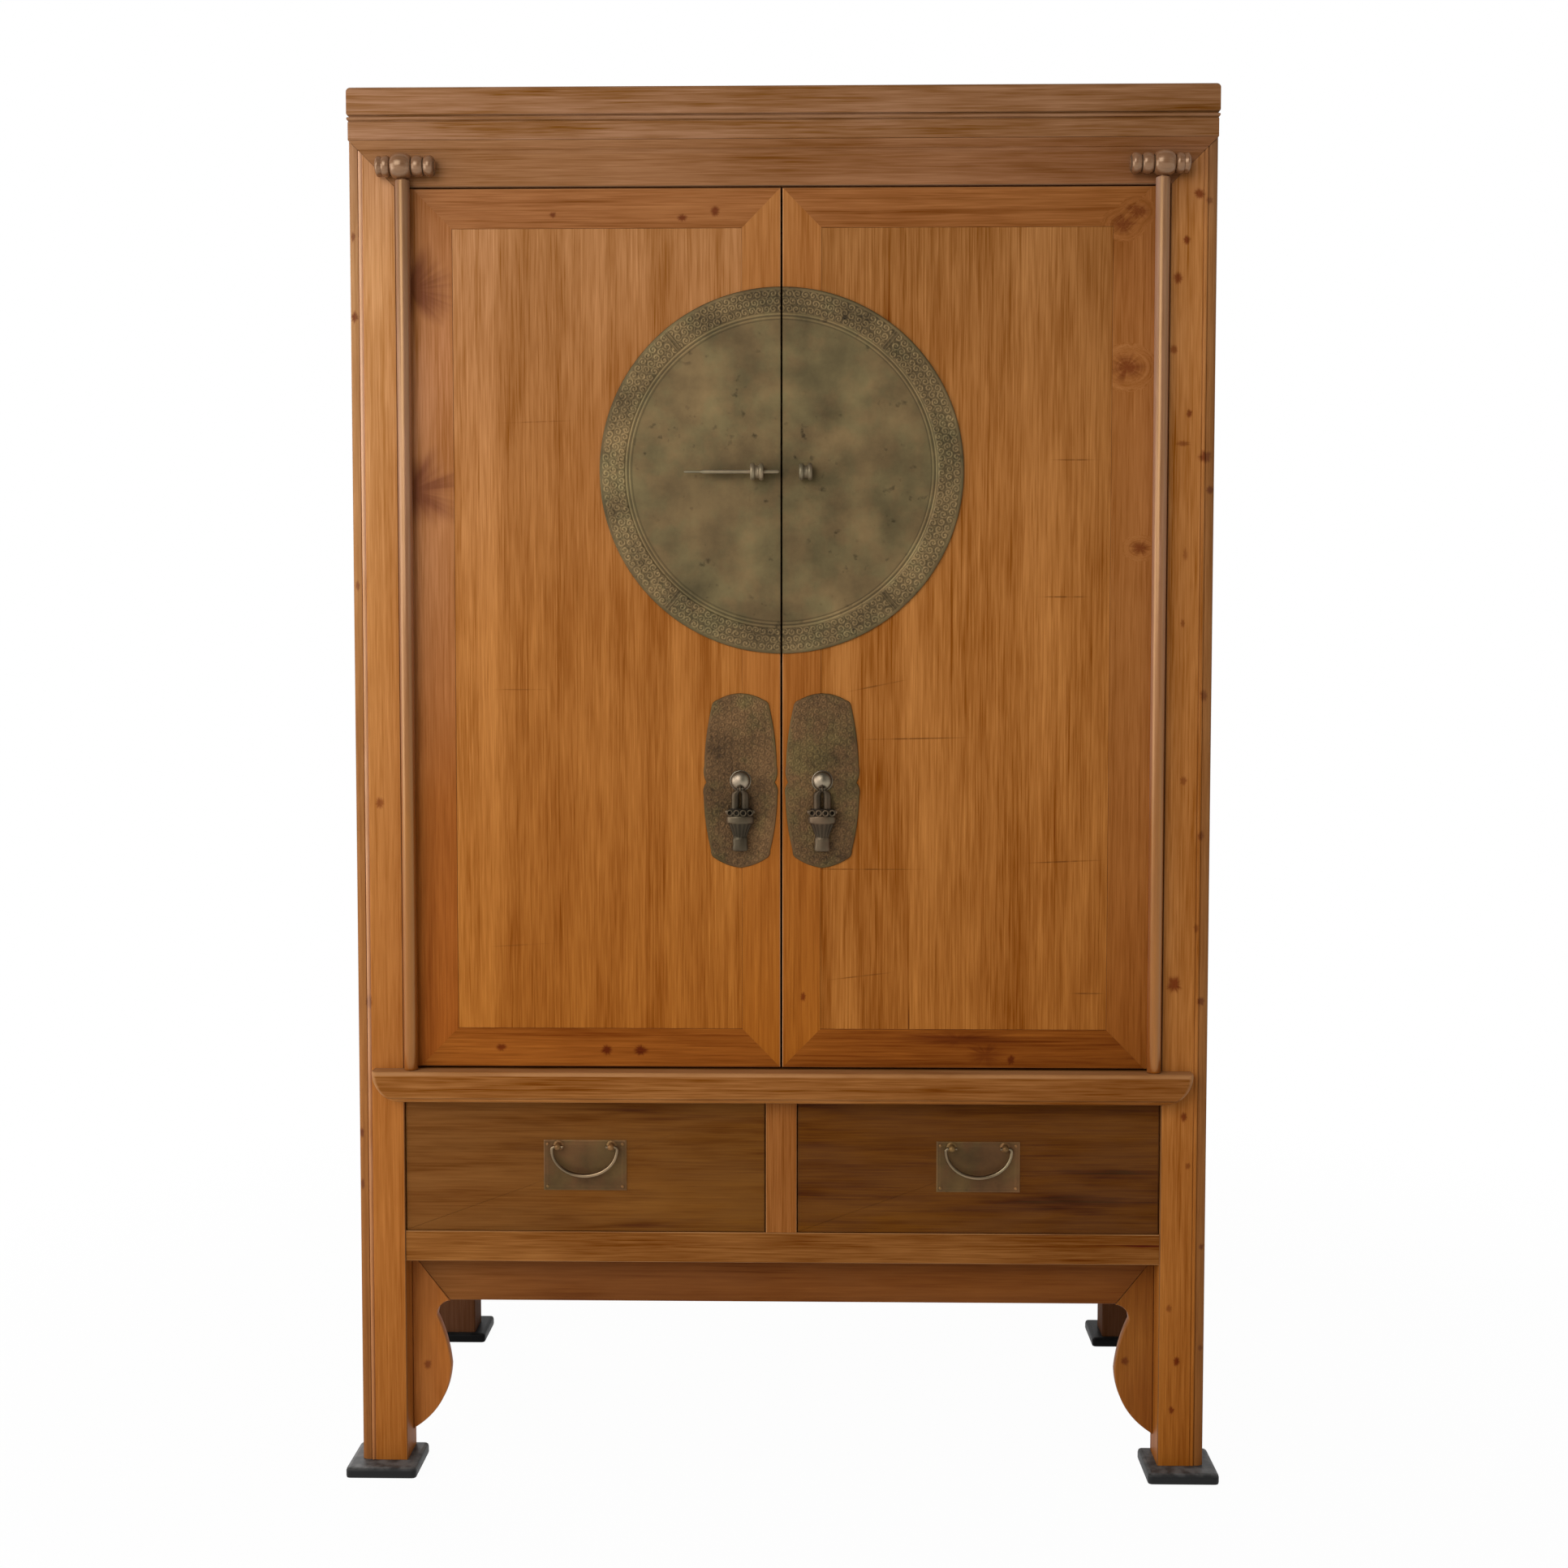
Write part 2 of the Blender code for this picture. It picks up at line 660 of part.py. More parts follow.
def make_side_rails(posts):
    """Rails between the front and rear posts, and the panel housed in them, on both sides."""
    fore, rear = POST_REAR + SEAT_GAP, POST_FORE - SEAT_GAP
    for side, sign in SIDES:
        def place(a, b, c):
            return (sign * a, c, b)

        top = chamfered((SIDE_OUTER - SIDE_RAIL_T, Z_FRIEZE), (SIDE_OUTER, Z_NECK))
        top_rail = piece(f"side_top_rail_{side}", prism(top, place, fore, rear), RAIL_WOOD)
        inner, lip = SIDE_OUTER - SIDE_RAIL_T, SIDE_OUTER - SIDE_LIP
        step = [(inner, Z_RAIL), (SIDE_OUTER - ARRIS, Z_RAIL), (SIDE_OUTER, Z_RAIL + ARRIS),
                (SIDE_OUTER, Z_DRAWER), (lip, Z_DRAWER), (lip, DECK_LEDGE), (inner, DECK_LEDGE)]
        foot_rail = piece(f"side_bottom_rail_{side}", prism(step, place, fore, rear), RAIL_WOOD)

        low = Vector((PANEL_INNER, POST_REAR - TONGUE, Z_DRAWER - TONGUE))
        high = Vector((PANEL_OUTER, POST_FORE + TONGUE, Z_FRIEZE + TONGUE))
        outline = [(low.x, low.z), (high.x, low.z), (high.x, high.z), (low.x, high.z)]
        panel = piece(f"side_panel_{side}", prism(outline, place, low.y, high.y), PANEL_WOOD)
        room = SEAT_GAP
        grown = [(low.x - room, low.z - room), (high.x + room, low.z - room),
                 (high.x + room, high.z + room), (low.x - room, high.z + room)]
        for holder in (posts["front", side], posts["rear", side], top_rail, foot_rail):
            cut(holder, prism(grown, place, low.y - room, high.y + room))
        for head in (Z_FLOOR - FLOOR_T, Z_FLOOR + SHELF_RISE - SHELF_T):
            sunk = PANEL_INNER + PANEL_T / 2
            level = head - SEAT_GAP
            batten = [(PANEL_INNER - BATTEN_T, level - BATTEN_H), (sunk, level - BATTEN_H),
                      (sunk, level), (PANEL_INNER - BATTEN_T, level)]
            add(panel, prism(batten, place, fore + BATTEN_T, rear - BATTEN_T))


def make_back(posts):
    reach = INNER_X - SEAT_GAP
    outline = chamfered((POST_FORE + SEAT_GAP, Z_RAIL), (BACK - SIDE_INSET, DECK_LEDGE))
    rail = piece("rear_bottom_rail", prism(outline, along_x, -reach, reach), RAIL_WOOD)
    low = Vector((-INNER_X - TONGUE, BACK_PANEL_FORE, DECK_LEDGE - TONGUE))
    high = Vector((INNER_X + TONGUE, BACK_PANEL_FORE + PANEL_T, Z_NECK))
    piece("back_panel", box(low, high), INNER_WOOD)
    room = Vector((SEAT_GAP, SEAT_GAP, SEAT_GAP))
    above = Vector((0.0, 0.0, FRIEZE_H))
    for holder in (posts["rear", "left"], posts["rear", "right"], rail):
        cut(holder, box(low - room, high + room + above))


def board_outline(reach):
    """Plan of a board behind the front posts, notched round the rear posts."""
    fore, rear = POST_REAR + SEAT_GAP, BACK_PANEL_FORE - SEAT_GAP
    notch_x, notch_y = INNER_X - SEAT_GAP, POST_FORE - SEAT_GAP
    return [(-reach, fore), (reach, fore), (reach, notch_y), (notch_x, notch_y), (notch_x, rear),
            (-notch_x, rear), (-notch_x, notch_y), (-reach, notch_y)]


def make_boards():
    shelf_reach = PANEL_INNER - SEAT_GAP
    shelf_top = Z_FLOOR + SHELF_RISE
    floor = prism(board_outline(shelf_reach), upright, Z_FLOOR - FLOOR_T, Z_FLOOR)
    piece("cupboard_floor", floor, INNER_WOOD)
    shelf = prism(board_outline(shelf_reach), upright, shelf_top - SHELF_T, shelf_top)
    piece("shelf", shelf, INNER_WOOD)
    deck_reach = SIDE_OUTER - SIDE_LIP - SEAT_GAP
    board = prism(board_outline(deck_reach), upright, Z_DRAWER - DECK_T, Z_DRAWER)
    deck = piece("drawer_deck", board, INNER_WOOD)
    fore, rear = POST_REAR + GUIDE_W, POST_FORE - GUIDE_W
    for side, sign in SIDES:
        near, far = sorted((sign * INNER_X, sign * (INNER_X + GUIDE_W)))
        add(deck, box((near, fore, Z_DRAWER - DECK_T / 2), (far, rear, Z_DRAWER + GUIDE_H)))


# Turned brackets that hold the heads of the door poles

def swell(start, end, low_r, high_r, crown, steps=ARC_STEPS + 1):
    """Profile of one turned swelling, from the neck before it to the neck after it."""
    points = []
    for step in range(steps + 1):
        share = step / steps
        neck = low_r + (high_r - low_r) * share
        bulge = math.sqrt(1 - (2 * share - 1) ** 2)
        points.append((neck + (crown - neck) * bulge, start + (end - start) * share))
    return points


def make_brackets():
    ball_out, ball_in = BALL_SHIFT + BALL_L / 2, BALL_SHIFT - BALL_L / 2
    outer, inner = ball_out + OUTER_LOBE_L, ball_in - LOBE_L
    profile = [(0.0, outer)] + swell(outer, ball_out, LOBE_R / 2, BRACKET_NECK_R, LOBE_R)
    profile += swell(ball_out, ball_in, BRACKET_NECK_R, BRACKET_NECK_R, BALL_R)[1:]
    profile += swell(ball_in, inner, BRACKET_NECK_R, BRACKET_NECK_R, LOBE_R)[1:]
    profile += swell(inner, inner - LOBE_L, BRACKET_NECK_R, LOBE_R / 2, LOBE_R)[1:]
    profile += [(0.0, inner - LOBE_L)]
    for side, sign in SIDES:
        def along(a, b, c):
            return (sign * (POLE_X + c), POLE_Y + a, BRACKET_Z + b)

        bracket = piece(f"hinge_bracket_{side}", turned(profile, along), POST_WOOD, smooth=40)
        reach = outer - inner
        low = Vector((sign * POLE_X - reach, FRONT - SEAT_GAP, BRACKET_Z - 2 * BALL_R))
        high = Vector((sign * POLE_X + reach, FRONT + 2 * BALL_R, BRACKET_Z + 2 * BALL_R))
        cut(bracket, box(low, high))

        def socket(a, b, c):
            return (sign * POLE_X + a, POLE_Y + b, c)

        hole = PIVOT_R + PIVOT_GAP
        foot = BRACKET_Z - BALL_R
        cut(bracket, turned([(hole, foot - BALL_R), (hole, foot + PIVOT_L + PIVOT_GAP)], socket))


# Doors

def grooved(width):
    """Section of a door frame bar: outer edge at 0, panel groove in the edge at width, front at 0.
    It starts at the front of the outer edge and goes round by the panel side."""
    tongue_fore = DOOR_PANEL_DROP + (PANEL_T - DOOR_TONGUE_T) / 2 - SEAT_GAP
    tongue_rear = tongue_fore + DOOR_TONGUE_T + 2 * SEAT_GAP
    deep = width - TONGUE - SEAT_GAP
    panel_side = [(width - ARRIS / 2, 0.0), (width, ARRIS / 2), (width, tongue_fore), (deep, tongue_fore),
                  (deep, tongue_rear), (width, tongue_rear), (width, LEAF_T)]
    return [(ARRIS, 0.0)] + panel_side + [(0.0, LEAF_T), (0.0, ARRIS)]


def covered(width):
    """Section of a hinge stile: as above, with a point on the front and one on the back at the line
    where the part behind the pole ends. Also gives the places of those two points."""
    section = grooved(width)
    section.insert(1, (STILE_COVER, 0.0))
    section.insert(len(section) - 2, (STILE_COVER, LEAF_T))
    return section, (1, len(section) - 3)


def make_door_frame(side, sign, axis):
    """Four mitred bars, with the pole on the hinge stile."""
    def upright_bar(edge, way):
        return lambda a, b, c: (sign * (edge - way * a), LEAF_Y + b, c)

    def level_bar(edge, way):
        return lambda a, b, c: (sign * c, LEAF_Y + b, edge - way * a)

    def stile_ends(width, square):
        slope = DOOR_RAIL_W / (width - square)
        return (lambda a, b: LEAF_FOOT + max(a - square, 0.0) * slope,
                lambda a, b: LEAF_HEAD - max(a - square, 0.0) * slope)

    low, high = stile_ends(STILE_W, STILE_COVER)
    section, fold = covered(STILE_W)
    hinge = prism(section, upright_bar(LEAF_OUT, 1), low, high, fold)
    stile = piece(f"door_{side}_hinge_stile", hinge, RAIL_WOOD, axis)
    low, high = stile_ends(MEETING_W, 0.0)
    meeting = prism(grooved(MEETING_W), upright_bar(LEAF_IN, -1), low, high)
    piece(f"door_{side}_meeting_stile", meeting, RAIL_WOOD, axis)

    def inner_end(a, b):
        return LEAF_IN + a * MEETING_W / DOOR_RAIL_W + MITRE_GAP

    def outer_end(a, b):
        mitred = STILE_W - STILE_COVER
        return LEAF_OUT - STILE_COVER - a * mitred / DOOR_RAIL_W - MITRE_GAP

    for name, edge, way in (("top", LEAF_HEAD, 1), ("bottom", LEAF_FOOT, -1)):
        bar = prism(grooved(DOOR_RAIL_W), level_bar(edge, way), inner_end, outer_end)
        piece(f"door_{side}_{name}_rail", bar, RAIL_WOOD, axis)

    def on_axis(a, b, c):
        return (sign * POLE_X + a, POLE_Y + b, c)

    foot, head = Z_FLOOR + SEAT_GAP, BRACKET_Z - BALL_R - SEAT_GAP
    pole = [(0.0, foot - PIVOT_L), (PIVOT_R, foot - PIVOT_L), (PIVOT_R, foot), (POLE_R - ARRIS, foot),
            (POLE_R, foot + ARRIS), (POLE_R, head - ARRIS), (POLE_R - ARRIS, head), (PIVOT_R, head),
            (PIVOT_R, head + PIVOT_L), (0.0, head + PIVOT_L)]
    near, far = sorted((sign * POLE_X - POLE_WEB / 2, sign * POLE_X + POLE_WEB / 2))
    web_end = DOOR_RAIL_W / 2
    web = box((near, POLE_Y, LEAF_FOOT + web_end), (far, LEAF_Y + LEAF_T / 2, LEAF_HEAD - web_end))
    add(stile, web)
    add(stile, turned(pole, on_axis))


def make_door_panel(side, sign, axis):
    """Flush panel with a tongue all round, and two battens across its back."""
    room = SEAT_GAP
    near, far = LEAF_IN + MEETING_W + room, LEAF_OUT - STILE_W - room
    foot, head = LEAF_FOOT + DOOR_RAIL_W + room, LEAF_HEAD - DOOR_RAIL_W - room
    face = LEAF_Y + DOOR_PANEL_DROP
    tongue_fore = face + (PANEL_T - DOOR_TONGUE_T) / 2
    tongue_rear = tongue_fore + DOOR_TONGUE_T
    rings = []
    for reach, depth in ((0, face), (0, tongue_fore), (TONGUE, tongue_fore),
                         (TONGUE, tongue_rear), (0, tongue_rear), (0, face + PANEL_T)):
        left, right = sign * (near - reach), sign * (far + reach)
        low, high = foot - reach, head + reach
        rings.append([(left, depth, low), (right, depth, low), (right, depth, high), (left, depth, high)])
    panel = piece(f"door_{side}_panel", stack(rings), PANEL_WOOD, axis)
    for share in (0.25, 0.75):
        middle = foot + (head - foot) * share
        left, right = sorted((sign * (near + TONGUE), sign * (far - TONGUE)))
        low = (left, face + PANEL_T / 2, middle - DOOR_BATTEN_H / 2)
        high = (right, face + PANEL_T + DOOR_BATTEN_T, middle + DOOR_BATTEN_H / 2)
        add(panel, box(low, high))


def make_moon(side, sign, axis):
    """Half of the round plate: a flat field and a raised ring, cut straight at the meeting edge."""
    edge = LEAF_IN
    inner = MOON_R - MOON_RING_W
    raised = SHEET_T + MOON_RING_RAISE
    # Height in front of the back face at each radius, out to the rim and back down to the door.
    profile = [(inner, SHEET_T), (inner + MOON_RING_RAISE, raised), (MOON_R - SHEET_T, raised),
               (MOON_R, SHEET_T), (MOON_R, 0.0)]
    steps = 2 * TURN_STEPS
    bm = bmesh.new()
    rings = []
    for radius, height in profile:
        limit = math.acos(edge / radius)
        ring = []
        for step in range(steps + 1):
            angle = -limit + 2 * limit * step / steps
            spot = (sign * radius * math.cos(angle), SHEET_Y - height, MOON_Z + radius * math.sin(angle))
            ring.append(bm.verts.new(spot))
        rings.append(ring)
    bm.faces.new(rings[0])
    bm.faces.new(rings[-1])
    for low, high in zip(rings, rings[1:]):
        for step in range(steps):
            bm.faces.new((low[step], low[step + 1], high[step + 1], high[step]))
    bm.faces.new([ring[0] for ring in rings] + [ring[-1] for ring in reversed(rings)])
    piece(f"door_{side}_moon_plate", bm, AGED_BRASS, axis)


def make_lug(side, sign, axis):
    """Barrel with a ring round each end, on a short foot, bored through for the lock pin."""
    bore = PIN_R + PIVOT_GAP
    end, groove = -LUG_L / 2, LUG_R - LUG_DIP
    ring_end = end + LUG_RING_W
    ring = [(groove, end), (LUG_R, end + LUG_DIP), (LUG_R, ring_end - LUG_DIP), (groove, ring_end)]
    profile = ring + [(radius, -run) for radius, run in reversed(ring)]

    def along(a, b, c):
        return (sign * LUG_X + c, LUG_Y + a, LUG_Z + b)

    lug = piece(f"door_{side}_lock_lug", turned(profile, along), WORN_BRASS, axis, smooth=40)

    def foot(a, b, c):
        return (sign * LUG_X + a, c, LUG_Z + b)

    seat = SHEET_FACE - SEAT_GAP
    add(lug, turned([(LUG_FOOT_R, seat), (LUG_FOOT_R, LUG_Y)], foot))
    cut(lug, turned([(bore, -LUG_L), (bore, LUG_L)], along, TURN_STEPS // 2))


def make_pull_plate(side, sign, axis):
    """Plate with a pointed head and foot, and two lobes with a nick between them on each side."""
    def spot(share):
        return (share[0] * PULL_W / 2, share[1] * PULL_H / 2)

    half = [(0.0, PULL_H / 2)]
    for share in (PULL_SHOULDER, PULL_CORNER, PULL_WAIST, PULL_NICK, PULL_LOBE, PULL_HIP, PULL_TOE):
        half += bow(half[-1], spot(share), -PULL_BOW)
    half += bow(half[-1], (0.0, -PULL_H / 2), -PULL_BOW)
    outline = half + [(-a, b) for a, b in reversed(half[1:-1])]

    def place(a, b, c):
        return (sign * PULL_X + a, c, PULL_Z + b)

    piece(f"door_{side}_pull_plate", prism(outline, place, SHEET_FACE, SHEET_Y), AGED_BRASS, axis)


def make_boss(side, sign, axis):
    """Domed boss, with two cheeks below that hold the pendant's pin."""
    seat = SHEET_FACE - SEAT_GAP

    def outwards(a, b, c):
        return (sign * PULL_X + a, seat - c, PULL_Z + b)

    dome = [(0.0, 0.0)]
    for step in range(ARC_STEPS + 1):
        angle = math.pi / 2 * step / (ARC_STEPS + 1)
        dome.append((BOSS_R * math.cos(angle), BOSS_H * math.sin(angle) + HANGER_PIN_R / 2))
    dome.insert(1, (BOSS_R, 0.0))
    dome.append((0.0, BOSS_H + HANGER_PIN_R / 2))
    boss = piece(f"door_{side}_pull_boss", turned(dome, outwards), WORN_BRASS, axis, smooth=40)

    def across(a, b, c):
        return (sign * PULL_X + c, HANGER_Y + a, HANGER_Z + b)

    # The cheeks are round about the pin, so that the pendant's neck clears them as it lifts.
    inner = HANGER_EYE_R + PIVOT_GAP
    nose = 2 * HANGER_PIN_R
    root = seat - HANGER_Y
    cheek = arc((0.0, 0.0), nose, 90, 270) + [(root, -nose), (root, nose)]
    for way in (-1, 1):
        near, far = sorted((way * inner, way * (inner + CHEEK_T)))
        add(boss, prism(cheek, across, near, far))
    reach = inner + CHEEK_T / 2
    add(boss, turned([(HANGER_PIN_R, -reach), (HANGER_PIN_R, reach)], across, TURN_STEPS // 2))


def make_pendant(side, sign, axis):
    """Hanging pull like a flower basket: an eye, a handle, a flared crown, a rim band and a tapered
    basket on its foot, flattened front to back."""
    eye_r = HANGER_PIN_R + PIVOT_GAP + HANGER_EYE_R
    rim, drop = PENDANT_RIM_R, PENDANT_DROP_R
    handle_top = -eye_r
    crown_top = handle_top - PENDANT_HANDLE_L
    band_top = crown_top - PENDANT_CROWN_H
    taper_top = band_top - PENDANT_BAND_H
    drop_top = taper_top - PENDANT_TAPER_L
    profile = [(0.0, handle_top)]
    for step in range(ARC_STEPS + 1):
        share = step / ARC_STEPS
        swollen = PENDANT_NECK_R + (PENDANT_HANDLE_R - PENDANT_NECK_R) * math.sin(math.pi / 2 * share)
        profile.append((swollen, handle_top - PENDANT_HANDLE_L * share))
    crown_mid = crown_top - PENDANT_CROWN_H / 2
    profile += [(PENDANT_CROWN_R, crown_mid), (PENDANT_CROWN_R, (crown_mid + band_top) / 2), (rim, band_top)]
    profile += [(rim, taper_top), (rim - PENDANT_RIM_STEP, taper_top)]
    end = drop_top - PENDANT_DROP_L
    profile += [(drop, drop_top), (drop, drop_top - PENDANT_DROP_L / 2), (drop / 2, end), (0.0, end)]

    def hang(a, b, c):
        return (sign * PULL_X + a, HANGER_Y + b * PENDANT_FLATTEN, HANGER_Z + c)

    pendant = piece(f"pendant_{side}", turned(profile, hang), AGED_BRASS, axis, smooth=40)

    def eye(a, b, c):
        return (sign * PULL_X + c, HANGER_Y + a, HANGER_Z + b)

    add(pendant, ring_solid(eye_r, HANGER_EYE_R, eye))


def make_pin(axis):
    """Lock pin, drawn back so that it clears the meeting edge."""
    tip = -LEAF_IN - RUN_GAP
    tail = tip - PIN_L
    body = tail + PIN_TAIL_L
    profile = [(0.0, tail), (PIN_TAIL_R, tail), (PIN_TAIL_R, body), (PIN_R, body + PIN_R),
               (PIN_R, tip - PIN_R), (PIN_R / 2, tip), (0.0, tip)]

    def along(a, b, c):
        return (c, LUG_Y + a, LUG_Z + b)

    piece("lock_pin", turned(profile, along, TURN_STEPS // 2), WORN_BRASS, axis, smooth=40)


def make_doors():
    for side, sign in SIDES:
        door = joint_empty(f"door_{side}_axis", (sign * POLE_X, POLE_Y, Z_FLOOR))
        hanger = joint_empty(f"pendant_{side}_axis", (sign * PULL_X, HANGER_Y, HANGER_Z))
        make_door_frame(side, sign, door)
        make_door_panel(side, sign, door)
        make_moon(side, sign, door)
        make_lug(side, sign, door)
        make_pull_plate(side, sign, door)
        make_boss(side, sign, door)
        make_pendant(side, sign, hanger)
    pin = joint_empty("lock_pin_axis", (0.0, LUG_Y, LUG_Z))
    make_pin(pin)


# Drawers

def make_drawer(side, sign, axis):
    near, far = DIVIDER_W / 2 + RUN_GAP, INNER_X - RUN_GAP
    low, high = sorted((sign * near, sign * far))
    foot, head = Z_DRAWER + SEAT_GAP, Z_WAIST - DRAWER_HEAD_GAP
    rear = DRAWER_Y + DRAWER_FRONT_T
    rings = []
    for inset, depth in ((ARRIS, DRAWER_Y), (0.0, DRAWER_Y + ARRIS), (0.0, rear)):
        rings.append([(low + inset, depth, foot + inset), (high - inset, depth, foot + inset),
                      (high - inset, depth, head - inset), (low + inset, depth, head - inset)])
    front = piece(f"drawer_{side}_front", stack(rings), DRAWER_WOOD, axis)

    near, far = DIVIDER_W / 2 + DRAWER_SIDE_GAP, INNER_X - DRAWER_SIDE_GAP
    left, right = sorted((sign * near, sign * far))
    wall = DRAWER_SIDE_T
    fore = rear + SEAT_GAP
    inside = DRAWER_REAR - wall
    outline = [(left, fore), (left + wall, fore), (left + wall, inside), (right - wall, inside),
               (right - wall, fore), (right, fore), (right, DRAWER_REAR), (left, DRAWER_REAR)]
    walls = piece(f"drawer_{side}_box", prism(outline, upright, foot, foot + DRAWER_SIDE_H), INNER_WOOD, axis)

    bottom = foot + DRAWER_BOTTOM_RISE
    deep = DRAWER_GROOVE
    board_low = Vector((left + wall - deep, rear - deep, bottom))
    board_high = Vector((right - wall + deep, inside + deep, bottom + DRAWER_BOTTOM_T))
    piece(f"drawer_{side}_bottom", box(board_low, board_high), INNER_WOOD, axis)
    room = Vector((SEAT_GAP, SEAT_GAP, SEAT_GAP))
    for holder in (front, walls):
        cut(holder, box(board_low - room, board_high + room))


def make_handle(side, sign, drawer, swing):
    """Plate with two eyes, and the bail whose hooked ends turn in them."""
    centre = sign * DRAWER_X
    outline = chamfered((centre - HANDLE_W / 2, HANDLE_Z - HANDLE_H / 2),
                        (centre + HANDLE_W / 2, HANDLE_Z + HANDLE_H / 2), SHEET_T)
    sheet = prism(outline, along_y, HANDLE_FACE, HANDLE_Y)
    plate = piece(f"drawer_{side}_handle_plate", sheet, AGED_BRASS, drawer)
    hole = BAIL_R + PIVOT_GAP
    for way in (-1, 1):
        spot = centre + way * EYE_SPAN / 2

        def outwards(a, b, c):
            return (spot + a, HANDLE_FACE + SHEET_T / 2 - c, EYE_Z + b)

        stand = EYE_STAND + SHEET_T / 2
        knob = [(0.0, 0.0), (EYE_R, 0.0), (EYE_R, stand + hole), (EYE_R / 2, stand + EYE_R)]
        knob.append((0.0, stand + EYE_R))
        add(plate, turned(knob, outwards, TURN_STEPS // 2))

        def across(a, b, c):
            return (spot + c, EYE_Y + a, EYE_Z + b)

        cut(plate, turned([(hole, -2 * EYE_R), (hole, 2 * EYE_R)], across, TURN_STEPS // 2))

    # The wire is straight inside an eye and starts its bend where it comes out.
    hook = BAIL_HALF_W - EYE_SPAN / 2 - EYE_R
    inner = EYE_SPAN / 2 - EYE_R - BAIL_R
    half = [(inner, 0.0)] + arc((BAIL_HALF_W - hook, -hook), hook, 90, 0)
    for step in range(1, 2 * ARC_STEPS + 1):
        angle = math.pi / 2 * step / (2 * ARC_STEPS)
        half.append((BAIL_HALF_W * math.cos(angle), -hook - (BAIL_DROP - hook) * math.sin(angle)))
    path = half + [(-a, b) for a, b in reversed(half[:-1])]

    def place(a, b, c):
        return (centre + a, EYE_Y + c, EYE_Z + b)

    piece(f"bail_{side}", wire(path, BAIL_R, place), WORN_BRASS, swing, smooth=40)


def make_drawers():
    for side, sign in SIDES:
        drawer = joint_empty(f"drawer_{side}_axis", (sign * DRAWER_X, DRAWER_Y, HANDLE_Z))
        swing = joint_empty(f"bail_{side}_axis", (sign * DRAWER_X, EYE_Y, EYE_Z))
        make_drawer(side, sign, drawer)
        make_handle(side, sign, drawer, swing)


corner_posts = make_posts()
make_cornice()
make_frieze()
make_waist()
make_drawer_rail()
make_divider()
make_apron()
make_side_rails(corner_posts)
make_back(corner_posts)
make_boards()
make_brackets()
make_doors()
make_drawers()
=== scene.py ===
# %% [markdown]
# # A Chinese wedding armoire
# The cupboard is honey-coloured softwood under an old clear lacquer, with aged brass on its doors
# and drawers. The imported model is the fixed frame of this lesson: every piece below is drawn in
# metres and in the same place as the solid that it dresses, so nothing has to be fitted afterwards.

import bmesh
import bpy
import numpy as np
from mathutils import Matrix, Vector


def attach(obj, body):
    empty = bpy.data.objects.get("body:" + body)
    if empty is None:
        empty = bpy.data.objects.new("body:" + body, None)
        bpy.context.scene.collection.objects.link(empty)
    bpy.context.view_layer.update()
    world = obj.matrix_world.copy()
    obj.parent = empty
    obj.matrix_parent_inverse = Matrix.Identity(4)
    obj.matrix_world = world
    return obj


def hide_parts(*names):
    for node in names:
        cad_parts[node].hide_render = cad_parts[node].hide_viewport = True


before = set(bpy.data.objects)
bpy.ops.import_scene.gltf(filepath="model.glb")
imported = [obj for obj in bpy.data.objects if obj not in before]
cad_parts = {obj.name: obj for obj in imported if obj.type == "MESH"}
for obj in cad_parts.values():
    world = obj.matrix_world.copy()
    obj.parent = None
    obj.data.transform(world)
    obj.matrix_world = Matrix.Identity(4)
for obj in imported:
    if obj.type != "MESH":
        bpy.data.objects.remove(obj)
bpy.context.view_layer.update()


# %% [markdown]
# ## The camera
# The picture was taken nearly straight on, a little right of the middle of the doors and just below
# it. A camera could be aimed by eye with a tracking constraint. Here its three axes are worked out
# from three small angles instead, because then the frame's edges fall where they should.

# %% Camera
PHOTO_PX, FOCAL_PX, SENSOR_MM = 1932, 2433.74, 36.0
EYE = np.array((0.05196, -2.8137, 1.04149))
YAW, PITCH, ROLL = 0.01918, 0.05426, -0.0004

ahead = np.array((-np.sin(YAW) * np.cos(PITCH), np.cos(YAW) * np.cos(PITCH), -np.sin(PITCH)))
level = np.cross(ahead, (0.0, 0.0, 1.0))
level /= np.linalg.norm(level)
plumb = np.cross(level, ahead)
rightward = level * np.cos(ROLL) - plumb * np.sin(ROLL)
upward = level * np.sin(ROLL) + plumb * np.cos(ROLL)
camera = bpy.data.objects.new("camera", bpy.data.cameras.new("camera"))
camera.data.sensor_width = SENSOR_MM
camera.data.lens = FOCAL_PX * SENSOR_MM / PHOTO_PX
axes = np.column_stack((rightward, upward, -ahead, EYE))
camera.matrix_world = Matrix(axes.tolist() + [[0.0, 0.0, 0.0, 1.0]])
bpy.context.scene.collection.objects.link(camera)
bpy.context.scene.camera = camera
bpy.context.scene.view_settings.view_transform = "Standard"
print("lens", round(camera.data.lens, 2), "mm")

# %% [markdown]
# ## Node helpers
# A finish is a small tree of nodes. Adding each one by hand takes five lines, so one helper adds a
# node, sets its own fields, and feeds its inputs with values or with the outputs of other nodes.
# The others are short names for the nodes that every finish here uses.

# %% Knitting nodes
def knit(tree, kind, feeds=None, **fields):
    """Adds one node. fields are its own settings; feeds maps an input to a value or a socket."""
    made = tree.nodes.new(kind)
    for field, value in fields.items():
        setattr(made, field, value)
    for key, value in (feeds or {}).items():
        if isinstance(value, bpy.types.NodeSocket):
            tree.links.new(value, made.inputs[key])
        else:
            made.inputs[key].default_value = value
    return made


def reckon(tree, operation, *terms):
    """One step of arithmetic on up to three numbers."""
    return knit(tree, "ShaderNodeMath", dict(enumerate(terms)), operation=operation).outputs[0]


